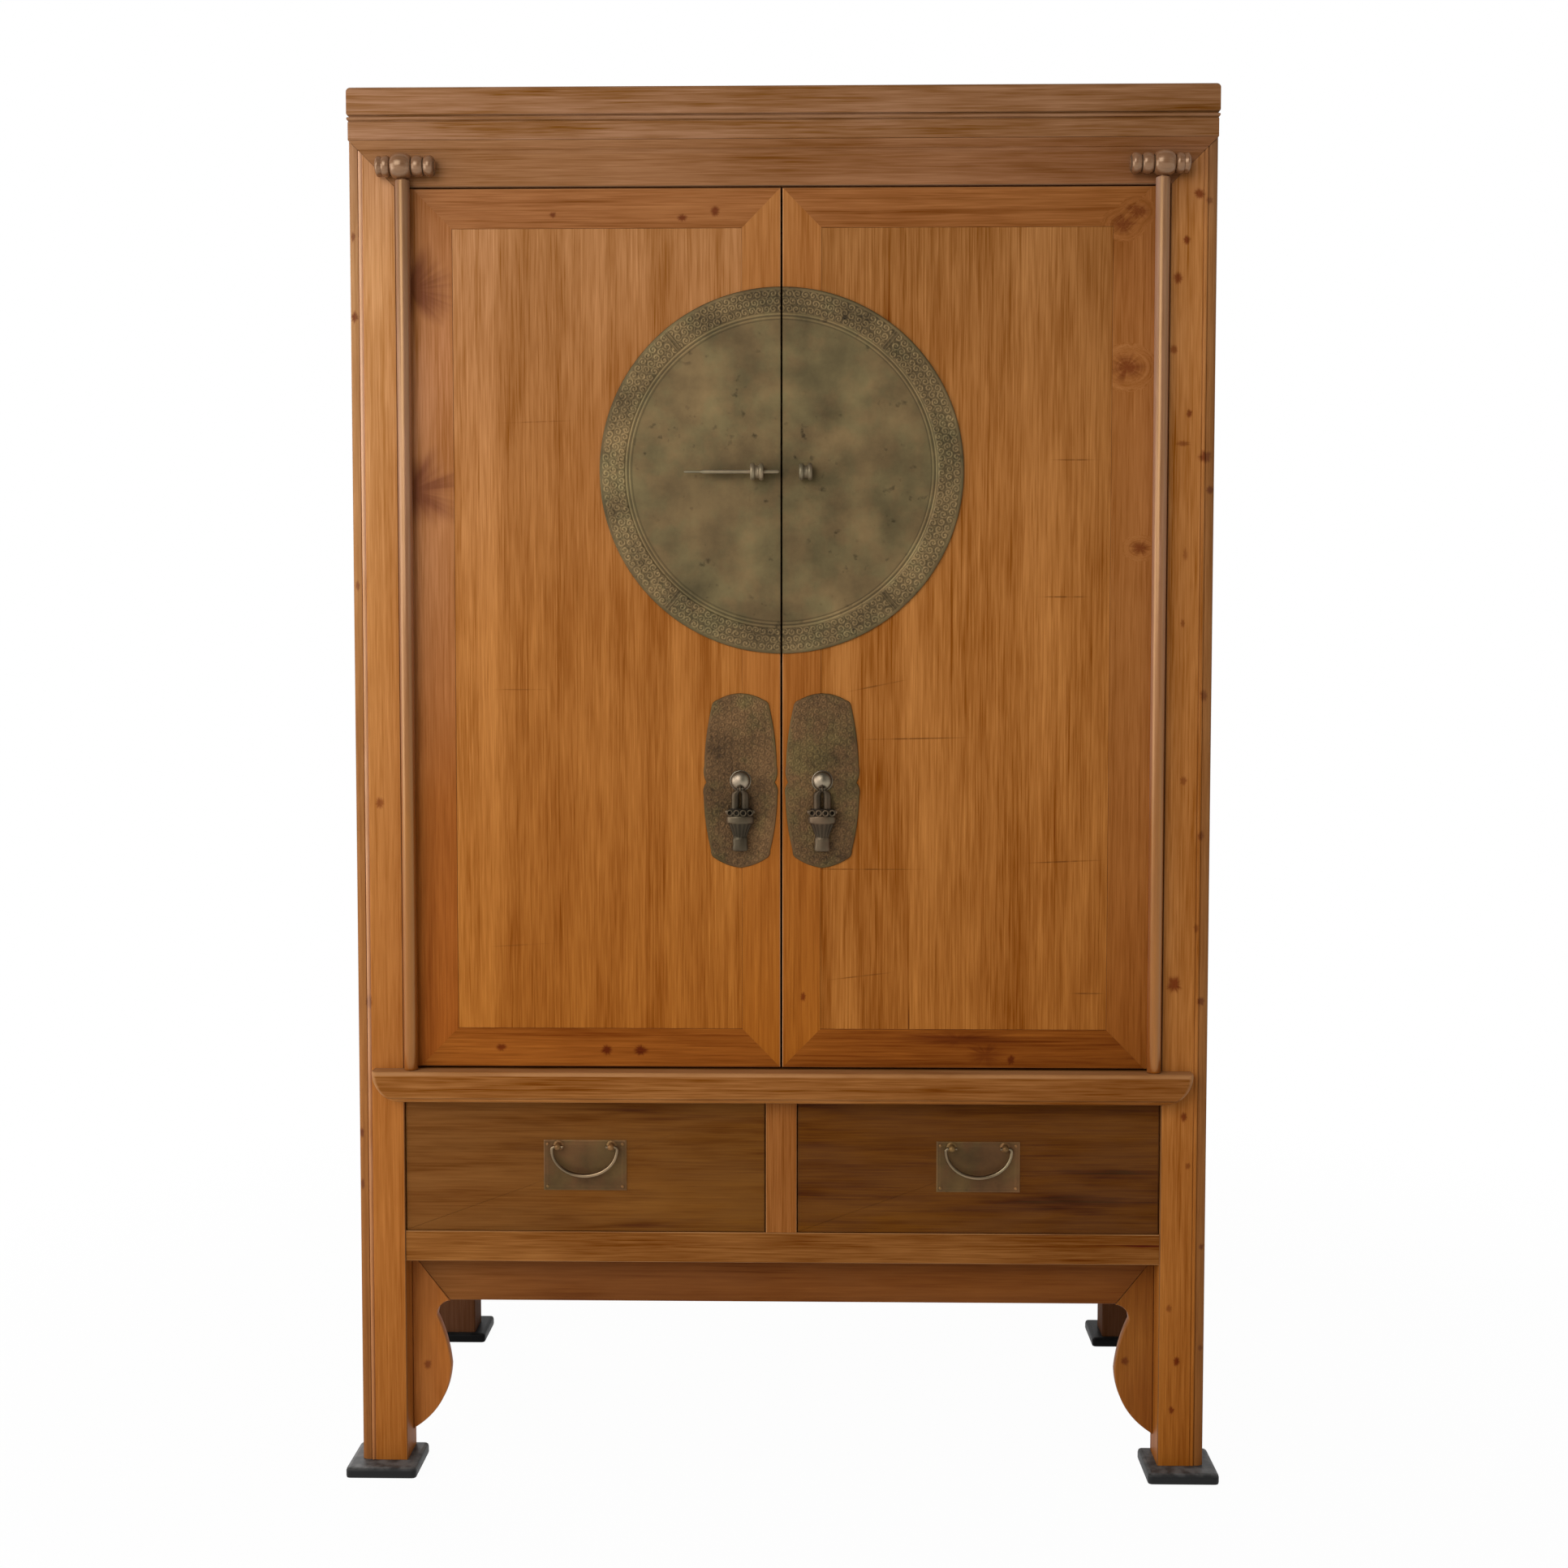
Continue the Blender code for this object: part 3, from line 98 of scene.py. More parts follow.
def reckon_vector(tree, operation, *terms):
    """One step of arithmetic on up to three vectors or colours."""
    feeds = dict(enumerate(terms))
    return knit(tree, "ShaderNodeVectorMath", feeds, operation=operation).outputs[0]


def scaled(tree, vector, factor):
    """A vector or a colour times a number."""
    feeds = {0: vector, "Scale": factor}
    return knit(tree, "ShaderNodeVectorMath", feeds, operation="SCALE").outputs[0]


def length_of(tree, vector):
    """Distance of a place from the middle."""
    return knit(tree, "ShaderNodeVectorMath", {0: vector}, operation="LENGTH").outputs["Value"]


def axis_of(tree, vector, axis):
    """One coordinate of a vector, by its letter."""
    return knit(tree, "ShaderNodeSeparateXYZ", {0: vector}).outputs["xyz".index(axis)]


def between(tree, value, low, high, to_low=0.0, to_high=1.0, soft=True):
    """Carries the stretch from low to high over to the stretch from to_low to to_high."""
    kind = "SMOOTHSTEP" if soft else "LINEAR"
    feeds = {0: value, 1: low, 2: high, 3: to_low, 4: to_high}
    return knit(tree, "ShaderNodeMapRange", feeds, interpolation_type=kind).outputs[0]


def blend_colour(tree, share, first, second):
    """share of the second colour over the first."""
    feeds = {0: share, 6: first, 7: second}
    return knit(tree, "ShaderNodeMix", feeds, data_type="RGBA").outputs[2]


# %% Parts of a finish
def opaque(colour):
    """A colour of three numbers with nothing seen through it."""
    return (*colour, 1.0)


def new_finish(name):
    """An empty finish: its material, its nodes, its shader, and each point's place in the part."""
    made = bpy.data.materials.new(name)
    made.use_nodes = True
    tree = made.node_tree
    spot = knit(tree, "ShaderNodeTexCoord").outputs["Object"]
    print("finish:", name)
    return made, tree, tree.nodes["Principled BSDF"], spot


def shifted(tree, place, shift, stretch=(1.0, 1.0, 1.0)):
    """A place moved by shift after it was scaled by stretch."""
    return knit(tree, "ShaderNodeMapping", {0: place, 1: shift, 3: stretch}).outputs[0]


def noise_at(tree, place, scale, detail, **more):
    """Cloudy noise about one half, with cells of about 1 / scale."""
    feeds = {"Vector": place, "Scale": scale, "Detail": detail, **more}
    return knit(tree, "ShaderNodeTexNoise", feeds).outputs[0]


def mark_at(tree, mark):
    """The value of a mark that goes with each point of a mesh."""
    return knit(tree, "ShaderNodeAttribute", attribute_name=mark).outputs["Fac"]


def dress(tree, shader, colour, rough, uneven, gloss, relief, bump):
    """Feeds a shader. uneven is (noise, spread): roughness is rough + spread x (noise - 1/2). bump
    is (strength, distance) of the relief."""
    noise, spread = uneven
    strength, distance = bump
    feeds = {"Height": relief, "Strength": strength, "Distance": distance}
    tree.links.new(colour, shader.inputs["Base Color"])
    tree.links.new(reckon(tree, "MULTIPLY_ADD", noise, spread, rough - spread / 2),
                   shader.inputs["Roughness"])
    tree.links.new(knit(tree, "ShaderNodeBump", feeds).outputs[0], shader.inputs["Normal"])
    shader.inputs["Specular IOR Level"].default_value = gloss


# %% [markdown]
# ## Floor, backdrop and light
# A studio picture of furniture has a white sweep behind and below it, and large soft lamps. The
# white could come from a curved wall, but such a wall would stand in the way when the armoire is
# seen from the back. Here the world is white to the camera and to reflections of what lies behind,
# the room in front of the armoire is dimmer, and the floor is white far out and keeps a soft shadow
# close by.

# %% White surroundings
WHITE = (1.0, 1.0, 1.0, 1.0)
FRONT_GLOSS, SKY_LIGHT = 0.12, 0.315

world = bpy.data.worlds.new("studio")
world.use_nodes = True
tree = world.node_tree
rays = knit(tree, "ShaderNodeLightPath").outputs
seen = reckon(tree, "MAXIMUM", rays["Is Camera Ray"], rays["Is Transmission Ray"])
depth = axis_of(tree, knit(tree, "ShaderNodeTexCoord").outputs["Generated"], "y")
sheet_behind = between(tree, depth, -0.15, 0.35, FRONT_GLOSS, 1.0)
shine = blend_colour(tree, rays["Is Glossy Ray"], opaque((SKY_LIGHT,) * 3), sheet_behind)
shown = blend_colour(tree, seen, shine, WHITE)
tree.links.new(shown, tree.nodes["Background"].inputs["Color"])
bpy.context.scene.world = world
print("surroundings:", world.name)

# %% Floor mesh
FLOOR_RINGS = np.array((0.02, 0.6, 1.2, 2.4, 9.0))[:, None]
FLOOR_SPOKES = 96


def gather(*coordinates):
    """Puts coordinates, each a number or an array, together as points."""
    return np.stack(np.broadcast_arrays(*coordinates), -1)


def circle(steps):
    """Evenly spaced angles once round, without the last one, which would be the first again."""
    return np.linspace(0, 2 * np.pi, steps, endpoint=False)


def quads_of(rows, columns, closed):
    """Corners of the quads between neighbouring rows of a grid. closed joins each row's ends."""
    number = np.arange(rows * columns).reshape(rows, columns)
    beside = np.roll(number, -1, axis=1)
    corners = gather(number[:-1], beside[:-1], beside[1:], number[1:])
    return (corners if closed else corners[:, :-1]).reshape(-1, 4)


spokes = circle(FLOOR_SPOKES)
disc = gather(FLOOR_RINGS * np.cos(spokes), FLOOR_RINGS * np.sin(spokes), 0.0)
tiles = quads_of(len(FLOOR_RINGS), FLOOR_SPOKES, True)[:, ::-1].tolist()
floor_mesh = bpy.data.meshes.new("floor")
floor_mesh.from_pydata(disc.reshape(-1, 3).tolist(), [], tiles + [list(range(FLOOR_SPOKES))])
floor = bpy.data.objects.new("floor", floor_mesh)
bpy.context.scene.collection.objects.link(floor)
print("floor of", len(floor_mesh.polygons), "faces")

# %% Floor finish
FLOOR_TONE, FLOOR_LIFT = 0.86, 0.972

floor_finish, tree, shader, spot = new_finish("pale_floor")
shader.inputs["Base Color"].default_value = opaque((FLOOR_TONE,) * 3)
shader.inputs["Roughness"].default_value = 0.9
shader.inputs["Specular IOR Level"].default_value = 0.1
far_out = between(tree, length_of(tree, spot), 0.9, 2.2)
rays = knit(tree, "ShaderNodeLightPath").outputs
bare = reckon(tree, "MAXIMUM", rays["Is Glossy Ray"], rays["Is Transmission Ray"])
seen = reckon(tree, "MAXIMUM", rays["Is Camera Ray"], bare)
white = knit(tree, "ShaderNodeEmission", {"Color": WHITE, "Strength": 1.0}).outputs[0]
lift = between(tree, far_out, 0.0, 1.0, FLOOR_LIFT, 1.0, False)
lifted = knit(tree, "ShaderNodeMixShader", {0: lift, 1: shader.outputs[0], 2: white}).outputs[0]
both = knit(tree, "ShaderNodeMixShader", {0: seen, 1: shader.outputs[0], 2: lifted}).outputs[0]
tree.links.new(both, tree.nodes["Material Output"].inputs["Surface"])
floor_mesh.materials.append(floor_finish)

# %% Lamps
def soft_lamp(name, place, aim, size, watts):
    """A square soft box at a place, turned towards the point it lights."""
    lamp = bpy.data.lights.new(name, "AREA")
    lamp.shape, lamp.size, lamp.energy = "SQUARE", size, watts
    made = bpy.data.objects.new(name, lamp)
    made.location = place
    made.rotation_euler = (Vector(aim) - Vector(place)).to_track_quat("-Z", "Y").to_euler()
    bpy.context.scene.collection.objects.link(made)
    print(f"{name}: {watts} W")


soft_lamp("key_upper_left", (-2.9, -5.9, 3.6), (0.0, -0.28, 1.1), 4.2, 220.0)
soft_lamp("side_left", (-4.0, -1.75, 1.3), (0.0, -0.28, 1.1), 2.8, 74.0)
soft_lamp("fill_right", (3.4, -2.6, 1.9), (0.0, 0.0, 0.9), 3.6, 18.0)
soft_lamp("rear_left", (-2.8, 3.6, 3.0), (0.0, 0.2, 0.9), 2.6, 80.0)

# %% [markdown]
# ## Surfaces from arrays
# Nearly every piece of this armoire is a section carried along a line, an outline raised in steps,
# or a profile turned on a lathe. All three are rings of points joined by quads. One helper closes
# such a stack of rings into a shell, and another makes shells into one object that rides on a body.
# Two marks go with every point. The first is above zero where hands and cloths have worn an edge
# pale and where a highlight is painted, and below zero where dirt stays and where shade is painted.
# The second, chase, is the height of the worked pattern on the brass, and on some fittings it also
# carries painted highlights and painted shade.

# %% Shells
def all_over(grid, mark):
    """A mark for every point of a grid of points."""
    return np.broadcast_to(mark, grid.shape[:2]).ravel()


def tube_shell(rings, wear=0.0, chase=0.0):
    """Closes rings, (rings, points round, 3), with quads between them and a cap on each end."""
    rows, columns = rings.shape[:2]
    caps = [list(range(columns)), list(range((rows - 1) * columns, rows * columns))]
    return {"points": rings.reshape(-1, 3), "quads": quads_of(rows, columns, True), "caps": caps,
            "wear": all_over(rings, wear), "chase": all_over(rings, chase)}


def loop_shell(rings):
    """Joins the last of an array of rings to the first, as a link of a chain is joined."""
    rows, columns = rings.shape[:2]
    shell = tube_shell(rings)
    shell["quads"], shell["caps"] = quads_of(rows + 1, columns, True) % (rows * columns), []
    return shell


def sheet_shell(face, back_y, chase, wear=0.0):
    """Closes a worked front, (rows, columns, 3): its rim goes straight back to a flat sheet."""
    rows, columns = face.shape[:2]
    number = np.arange(rows * columns).reshape(rows, columns)
    rim = np.concatenate((number[0, :-1], number[:-1, -1], number[-1, :0:-1], number[:0:-1, 0]))
    behind = face.reshape(-1, 3)[rim].copy()
    behind[:, 1] = back_y
    lip = rows * columns + np.arange(len(rim))
    edge = gather(rim, lip, np.roll(lip, -1), np.roll(rim, -1))
    wear, chase = (all_over(face, mark) for mark in (wear, chase))
    return {"points": np.concatenate((face.reshape(-1, 3), behind)),
            "quads": np.concatenate((quads_of(rows, columns, False), edge)),
            "caps": [lip.tolist()],
            "wear": np.concatenate((wear, wear[rim])),
            "chase": np.concatenate((chase, chase[rim]))}


# %% Pieces
FLAT_FROM = 0.006


def make_piece(name, shells, finish, body, replaced=(), sharp=32):
    """Joins shells into one object with its faces outwards, and puts it on a body of the frame.
    Narrow quads are shaded as a curve; caps and quads wider than FLAT_FROM are planed flat."""
    faces, curved, start = [], [], 0
    for shell in shells:
        corners = shell["points"][shell["quads"]]
        sides = np.linalg.norm(corners - np.roll(corners, -1, axis=1), axis=2)
        curved += (np.maximum(sides[:, :2], sides[:, 2:]).min(1) < FLAT_FROM).tolist()
        curved += [False] * len(shell["caps"])
        faces += (shell["quads"] + start).tolist()
        faces += [[corner + start for corner in cap] for cap in shell["caps"]]
        start += len(shell["points"])
    mesh = bpy.data.meshes.new(name)
    mesh.from_pydata(np.concatenate([shell["points"] for shell in shells]).tolist(), [], faces)
    for mark in ("wear", "chase"):
        values = np.concatenate([shell[mark] for shell in shells]).astype(np.float32)
        mesh.attributes.new(mark, "FLOAT", "POINT").data.foreach_set("value", values)
    form = bmesh.new()
    form.from_mesh(mesh)
    bmesh.ops.recalc_face_normals(form, faces=form.faces)
    form.to_mesh(mesh)
    form.free()
    mesh.shade_smooth()
    mesh.set_sharp_from_angle(angle=np.radians(sharp))
    mesh.polygons.foreach_set("use_smooth", curved)
    mesh.materials.append(finish)
    made = bpy.data.objects.new(name, mesh)
    bpy.context.scene.collection.objects.link(made)
    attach(made, body)
    if replaced:
        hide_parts(*replaced)
    print(f"{name}: {start} points, {len(faces)} faces")


# %% Ways to make a shell
def carried(section, place, low, high, wear=0.0):
    """Carries a section of (a, b) points along a straight run from low to high. Each end is a
    number, or a function of a that cuts a mitre. place(a, b, run) gives the points in space."""
    a, b = section.T
    ends = [end(a) if callable(end) else np.full(len(a), end) for end in (low, high)]
    return tube_shell(gather(*place(a, b, np.array(ends))), wear)


def banked(outline, insets, levels, place, wear=0.0):
    """Stacks copies of an outline that runs anticlockwise: each copy is drawn in by its inset,
    square to the outline, and stands at its level. place(a, b, level) gives the points in space."""
    ahead = np.roll(outline, -1, 0) - np.roll(outline, 1, 0)
    ahead /= np.linalg.norm(ahead, axis=1, keepdims=True)
    inward = gather(-ahead[:, 1], ahead[:, 0])
    drawn = outline + np.asarray(insets)[:, None, None] * inward
    rings = place(drawn[..., 0], drawn[..., 1], np.asarray(levels)[:, None])
    return tube_shell(gather(*rings), wear)


def turned(profile, place, steps=48, wear=0.0, chase=0.0):
    """Turns a profile of (radius, run) about its run. place(a, b, run) gives the points."""
    radius, run = np.asarray(profile).T[:, :, None]
    angle = circle(steps)
    rings = place(radius * np.cos(angle), radius * np.sin(angle), run)
    return tube_shell(gather(*rings), wear, chase)


SHARP_BELOW = 0.0004


def softened(corners, radii, steps=6):
    """Rounds each corner of an outline with the parabola that leaves its two edges at the given
    distance from it. Also gives the wear of each point: 1 at the middle of a rounded corner, and
    none at one too sharp to see."""
    corners = np.asarray(corners, float)
    radii = np.broadcast_to(radii, len(corners))[:, None]
    back, on = np.roll(corners, 1, 0) - corners, np.roll(corners, -1, 0) - corners
    first = corners + back / np.linalg.norm(back, axis=1, keepdims=True) * radii
    last = corners + on / np.linalg.norm(on, axis=1, keepdims=True) * radii
    t = np.linspace(0, 1, steps)[:, None]
    points = ((1 - t) ** 2 * first[:, None] + 2 * t * (1 - t) * corners[:, None]
              + t ** 2 * last[:, None])
    worn = np.where(radii > SHARP_BELOW, 4 * t[:, 0] * (1 - t[:, 0]), 0.0)
    return points.reshape(-1, 2), worn.ravel()


def oblong(low_a, high_a, low_b, high_b):
    """Corners of an upright oblong, anticlockwise from the low ones."""
    return [(low_a, low_b), (high_a, low_b), (high_a, high_b), (low_a, high_b)]


# %% [markdown]
# ## Lacquered timber
# The wood is a pale softwood whose figure is long, soft and straight, with small dark knots and, on
# the door stiles, a few large feathered ones. On the real piece the clear lacquer has turned
# honey-yellow where it is thick and reddish where it is worn. A photograph of wood could be wrapped
# round each board. Noises do it here, each stretched along the grain, because then every board has
# its own figure and its ends and edges agree with its face.

# %% Grain and tone
def lie(grain, along, across):
    """One scale along the grain's axis and another across it."""
    return tuple(along if axis == grain else across for axis in "xyz")


SIDE_FROM = 0.7


def sideways_turned(tree, spot):
    """Changes x and y over on the faces that look sideways, so the grain goes round a mitre."""
    normal = knit(tree, "ShaderNodeNewGeometry").outputs["True Normal"]
    aside = reckon(tree, "ABSOLUTE", axis_of(tree, normal, "x"))
    x, y, z = knit(tree, "ShaderNodeSeparateXYZ", {0: spot}).outputs
    swapped = knit(tree, "ShaderNodeCombineXYZ", {0: y, 1: x, 2: z}).outputs[0]
    return blend_colour(tree, reckon(tree, "GREATER_THAN", aside, SIDE_FROM), spot, swapped)


def tone_along(tree, spot, tones, fade):
    """The ground colour: one tone, or a ramp through several along the fade axis."""
    if len(tones) == 1:
        return tones[0][1]
    low, high = tones[0][0], tones[-1][0]
    share = between(tree, axis_of(tree, spot, fade), low, high, soft=False)
    ramp = knit(tree, "ShaderNodeValToRGB", {0: share})
    stops = ramp.color_ramp.elements
    while len(stops) < len(tones):
        stops.new(0.5)
    for stop, (place, colour) in zip(stops, tones):
        stop.position = (place - low) / (high - low)
        stop.color = opaque(colour)
    return ramp.outputs[0]


# %% Knots and scratches
BEND_FROM, FAN_FROM = 0.013, 0.03
BEND_PULL, BEND_REACH = 0.8, 1.6
KNOT_EDGE, KNOT_FEATHER, WIDE_FEATHER = 0.62, (0.8, 0.32), (1.5, 0.45)
KNOT_SHADE, FAN_SHADE = (0.34, 0.11, 0.02), (0.42, 0.30, 0.34)
SCRATCH_HALF = 0.0013


def about(tree, spot, x, z, half_x, half_z, slope=0.0):
    """Place and distance from a middle in x and z, in half widths. Depth hardly counts."""
    feeds = {0: spot, 1: (x, 0.0, z), 2: (0.0, -slope, 0.0), 3: (half_x, 1000.0, half_z)}
    near = knit(tree, "ShaderNodeMapping", feeds, vector_type="TEXTURE").outputs[0]
    return near, length_of(tree, near)


def knots_in(tree, spot, bent, grain, seed, knots):
    """Bends the figure round each knot of middle size and gives the darkness of all of them. A
    knot's edge is feathered by a noise of the direction from its middle: a feather is how far the
    edge wanders and how soft it is, in half widths."""
    core = None
    for x, z, half_x, half_z, darkness in knots:
        near, away = about(tree, spot, x, z, half_x, half_z)
        most = BEND_PULL if BEND_FROM < half_x < FAN_FROM else 0.0
        pull = between(tree, away, BEND_REACH, 0.0, 0.0, most)
        off = reckon_vector(tree, "SUBTRACT", spot, (x, 0.0, z))
        off = reckon_vector(tree, "MULTIPLY", off, lie(grain, 0.0, 1.0))
        bent = reckon_vector(tree, "SUBTRACT", bent, scaled(tree, off, pull))
        facing = reckon_vector(tree, "NORMALIZE", near)
        facing = reckon_vector(tree, "ADD", facing, (x * 40.0, seed, z * 40.0))
        feather = reckon(tree, "SUBTRACT", noise_at(tree, facing, 2.6, 2.0), 0.5)
        reach, soft = WIDE_FEATHER if half_x > BEND_FROM else KNOT_FEATHER
        edge = reckon(tree, "MULTIPLY_ADD", feather, reach, away)
        eye = between(tree, edge, KNOT_EDGE + soft, KNOT_EDGE - soft, 0.0, darkness)
        core = eye if core is None else reckon(tree, "MAXIMUM", core, eye)
    return bent, core


def pin_knots(tree, spot, grain, seed, share):
    """Tiny knots: the middles of stretched cells, of which the given share is chosen by lot."""
    placed = shifted(tree, spot, (seed, seed * 0.7, seed * 1.3), lie(grain, 15.0, 42.0))
    feeds = {"Vector": placed, "Scale": 1.0}
    cells = knit(tree, "ShaderNodeTexVoronoi", feeds, feature="F1").outputs
    chosen = between(tree, axis_of(tree, cells["Color"], "x"), 1.0 - share, 1.02 - share)
    return reckon(tree, "MULTIPLY", chosen, between(tree, cells["Distance"], 0.13, 0.05, 0.0, 0.8))


# %% Timber recipe
FIGURE_TINT = (1.0, 1.4, 2.3)
FIGURE_FLOOR = (0.12, 0.10, 0.08)
LAYER_WEIGHTS = (0.70, 0.55, 0.52, 0.80)
PIN_DARK, SCRATCH_DARK = (0.25, 0.2, 0.2), (0.32, 0.26, 0.25)
WORN_AND_LIT_PALE, DIRT_AND_SHADE_SHARE, DIRT_AND_SHADE_GREY = (1.6, 2.0, 2.9), 0.22, (0.030, 0.038, 0.030)


def timber(name, tones, grain, seed, figure=1.0, fade="z", knots=(), scratches=(), pins=0.0,
           smoke=0.0, rough=0.46, gloss=0.05, stain=KNOT_SHADE, returns=False, lean=None):
    """Timber with its grain along one axis. tones are (place on the fade axis, colour) from low to
    high. Figure f is the sum of bands, clouds, streaks and fine fibres less the dark growth lines,
    and the colour is tone x (1 + f x tint). A knot is (x, z, half width, half height, darkness),
    and stain is what it multiplies the colour by. A scratch is (x, z, half length, slope,
    darkness). pins is the share of tiny knots, smoke the depth of dark clouds. returns turns an x
    grain along y on the faces that look sideways. lean is (edge, inner end, factors) of a change
    of colour towards one edge in x."""
    made, tree, shader, spot = new_finish(name)
    first_tone = np.array(tones[0][1])
    bent = sideways_turned(tree, spot) if returns else spot
    bent, core = knots_in(tree, spot, bent, grain, seed, knots)

    def noise(along, across, shift, detail, harsh=0.55):
        """A noise of this board's own, with one scale along its grain and another across."""
        moved = (seed * 3.7 + shift, seed * 1.9, seed * 2.3 - shift)
        placed = shifted(tree, bent, moved, lie(grain, along, across))
        return noise_at(tree, placed, 1.0, detail, Roughness=harsh, Distortion=0.2)

    bands, clouds = noise(0.6, 19.0, 0.0, 2.0), noise(5.5, 24.0, 3.0, 3.0)
    streaks, fibres = noise(2.6, 130.0, 5.0, 4.0, 0.62), noise(14.0, 520.0, 9.0, 2.0)
    mixed = -0.5 * figure * sum(LAYER_WEIGHTS)
    for layer, weight in zip((bands, clouds, streaks, fibres), LAYER_WEIGHTS):
        mixed = reckon(tree, "MULTIPLY_ADD", layer, weight * figure, mixed)
    rings = between(tree, noise(1.6, 150.0, 13.0, 3.0), 0.56, 0.72, 0.0, 0.20 * figure)
    mixed = reckon(tree, "SUBTRACT", mixed, rings)
    if smoke > 0:
        sooty = between(tree, noise(3.4, 34.0, 21.0, 3.0), 0.50, 0.70, 0.0, smoke)
        mixed = reckon(tree, "SUBTRACT", mixed, sooty)
    lifted = reckon_vector(tree, "ADD", scaled(tree, FIGURE_TINT, mixed), (1.0, 1.0, 1.0))
    lifted = reckon_vector(tree, "MAXIMUM", lifted, FIGURE_FLOOR)
    coloured = reckon_vector(tree, "MULTIPLY", tone_along(tree, spot, tones, fade), lifted)

    def darken(share, factors):
        """Lays a share of the first tone times the factors over the colour."""
        return blend_colour(tree, share, coloured, opaque(first_tone * factors))

    if lean:
        edge, inner, factors = lean
        share = between(tree, axis_of(tree, spot, "x"), inner, edge)
        edge_tinted = reckon_vector(tree, "MULTIPLY", coloured, factors)
        coloured = blend_colour(tree, share, coloured, edge_tinted)
    if core is not None:
        feathered = reckon(tree, "MULTIPLY", core, between(tree, streaks, 0.25, 0.6, 0.8, 1.0))
        stained = reckon_vector(tree, "MULTIPLY", coloured, stain)
        coloured = blend_colour(tree, feathered, coloured, stained)
    if pins > 0:
        coloured = darken(pin_knots(tree, spot, grain, seed, pins), PIN_DARK)
    for x, z, half_length, slope, darkness in scratches:
        away = about(tree, spot, x, z, half_length, SCRATCH_HALF, slope)[1]
        worn_through = between(tree, noise(2.0, 60.0, 25.0, 2.0), 0.35, 0.55, 0.35, 1.0)
        share = reckon(tree, "MULTIPLY", between(tree, away, 1.0, 0.3, 0.0, darkness), worn_through)
        coloured = darken(share, SCRATCH_DARK)

    # The mark pales worn edges and painted highlights alike, and darkens dirt and painted shade
    # alike.
    wear_and_light_value, patchy = mark_at(tree, "wear"), noise(6.0, 30.0, 17.0, 3.0)
    pale_share = reckon(tree, "MULTIPLY", between(tree, wear_and_light_value, 0.1, 1.0),
                        between(tree, patchy, 0.3, 0.65, 0.35, 0.9))
    pale_tone = np.minimum(np.array(tones[-1][1]) * WORN_AND_LIT_PALE + 0.02, 0.9)
    coloured = blend_colour(tree, pale_share, coloured, opaque(pale_tone))
    dirt_and_shade_share = between(tree, wear_and_light_value, -0.05, -1.0, 0.0, 0.75)
    coloured = blend_colour(tree, dirt_and_shade_share, coloured, opaque(first_tone * DIRT_AND_SHADE_SHARE + DIRT_AND_SHADE_GREY))
    relief = reckon(tree, "MULTIPLY_ADD", fibres, 0.5, streaks)
    dress(tree, shader, coloured, rough, (patchy, 0.18), gloss, relief, (0.10, 0.0012))
    return made


def lacquered(finish, tint):
    """Turned work is varnished more thickly than flat boards: it reflects more, and warmer."""
    shader = finish.node_tree.nodes["Principled BSDF"]
    shader.inputs["IOR"].default_value = 2.0
    shader.inputs["Specular Tint"].default_value = opaque(tint)
    return finish


# %% Posts
POST_LEFT = timber(
    "post_left_honey",
    [(0.02, (0.336, 0.112, 0.0190)), (0.5, (0.381, 0.131, 0.0250)), (1.1, (0.448, 0.180, 0.0460)),
     (1.56, (0.535, 0.253, 0.0930)), (1.70, (0.433, 0.203, 0.0873))],
    "z", 1.3, 0.8, pins=0.05,
    knots=((-0.5448, 1.5998, 0.004, 0.008, 0.8), (-0.5440, 1.4988, 0.006, 0.010, 1.0),
           (-0.5441, 1.1581, 0.004, 0.009, 0.7), (-0.5182, 0.8786, 0.007, 0.010, 0.7),
           (-0.5350, 0.6201, 0.006, 0.012, 0.8), (-0.5466, 0.4476, 0.004, 0.010, 0.9),
           (-0.5464, 0.3801, 0.004, 0.010, 0.8)))
POST_RIGHT = timber(
    "post_right_amber",
    [(0.02, (0.282, 0.086, 0.0096)), (0.6, (0.381, 0.139, 0.0290)), (1.60, (0.420, 0.171, 0.0473)),
     (1.71, (0.294, 0.121, 0.0420))],
    "z", 2.1, 1.0, pins=0.05,
    knots=((0.5261, 1.6489, 0.009, 0.009, 0.85), (0.5394, 1.6408, 0.006, 0.006, 0.6),
           (0.5114, 1.5915, 0.006, 0.008, 0.85), (0.5007, 1.5441, 0.008, 0.010, 0.8),
           (0.4965, 1.4549, 0.007, 0.008, 0.7), (0.5167, 1.3745, 0.005, 0.007, 0.85),
           (0.5089, 1.3368, 0.012, 0.005, 0.6), (0.5378, 1.3204, 0.012, 0.010, 0.85),
           (0.5444, 1.2784, 0.007, 0.007, 0.9), (0.5134, 1.1965, 0.004, 0.012, 0.45),
           (0.5112, 1.1091, 0.004, 0.007, 0.6), (0.5390, 1.0171, 0.007, 0.010, 0.8),
           (0.5145, 0.9085, 0.006, 0.008, 0.6), (0.5380, 0.8380, 0.006, 0.009, 0.7),
           (0.5330, 0.7190, 0.005, 0.008, 0.6), (0.5055, 0.6458, 0.012, 0.014, 0.85),
           (0.5400, 0.6245, 0.007, 0.007, 0.8), (0.5200, 0.4745, 0.006, 0.009, 0.8),
           (0.5256, 0.4102, 0.005, 0.006, 0.6), (0.5446, 0.3038, 0.005, 0.006, 0.8),
           (0.5034, 0.2224, 0.005, 0.007, 0.6), (0.5449, 0.1701, 0.005, 0.006, 0.7),
           (0.5136, 0.1528, 0.006, 0.008, 0.9), (0.5079, 0.0882, 0.005, 0.007, 0.9)))
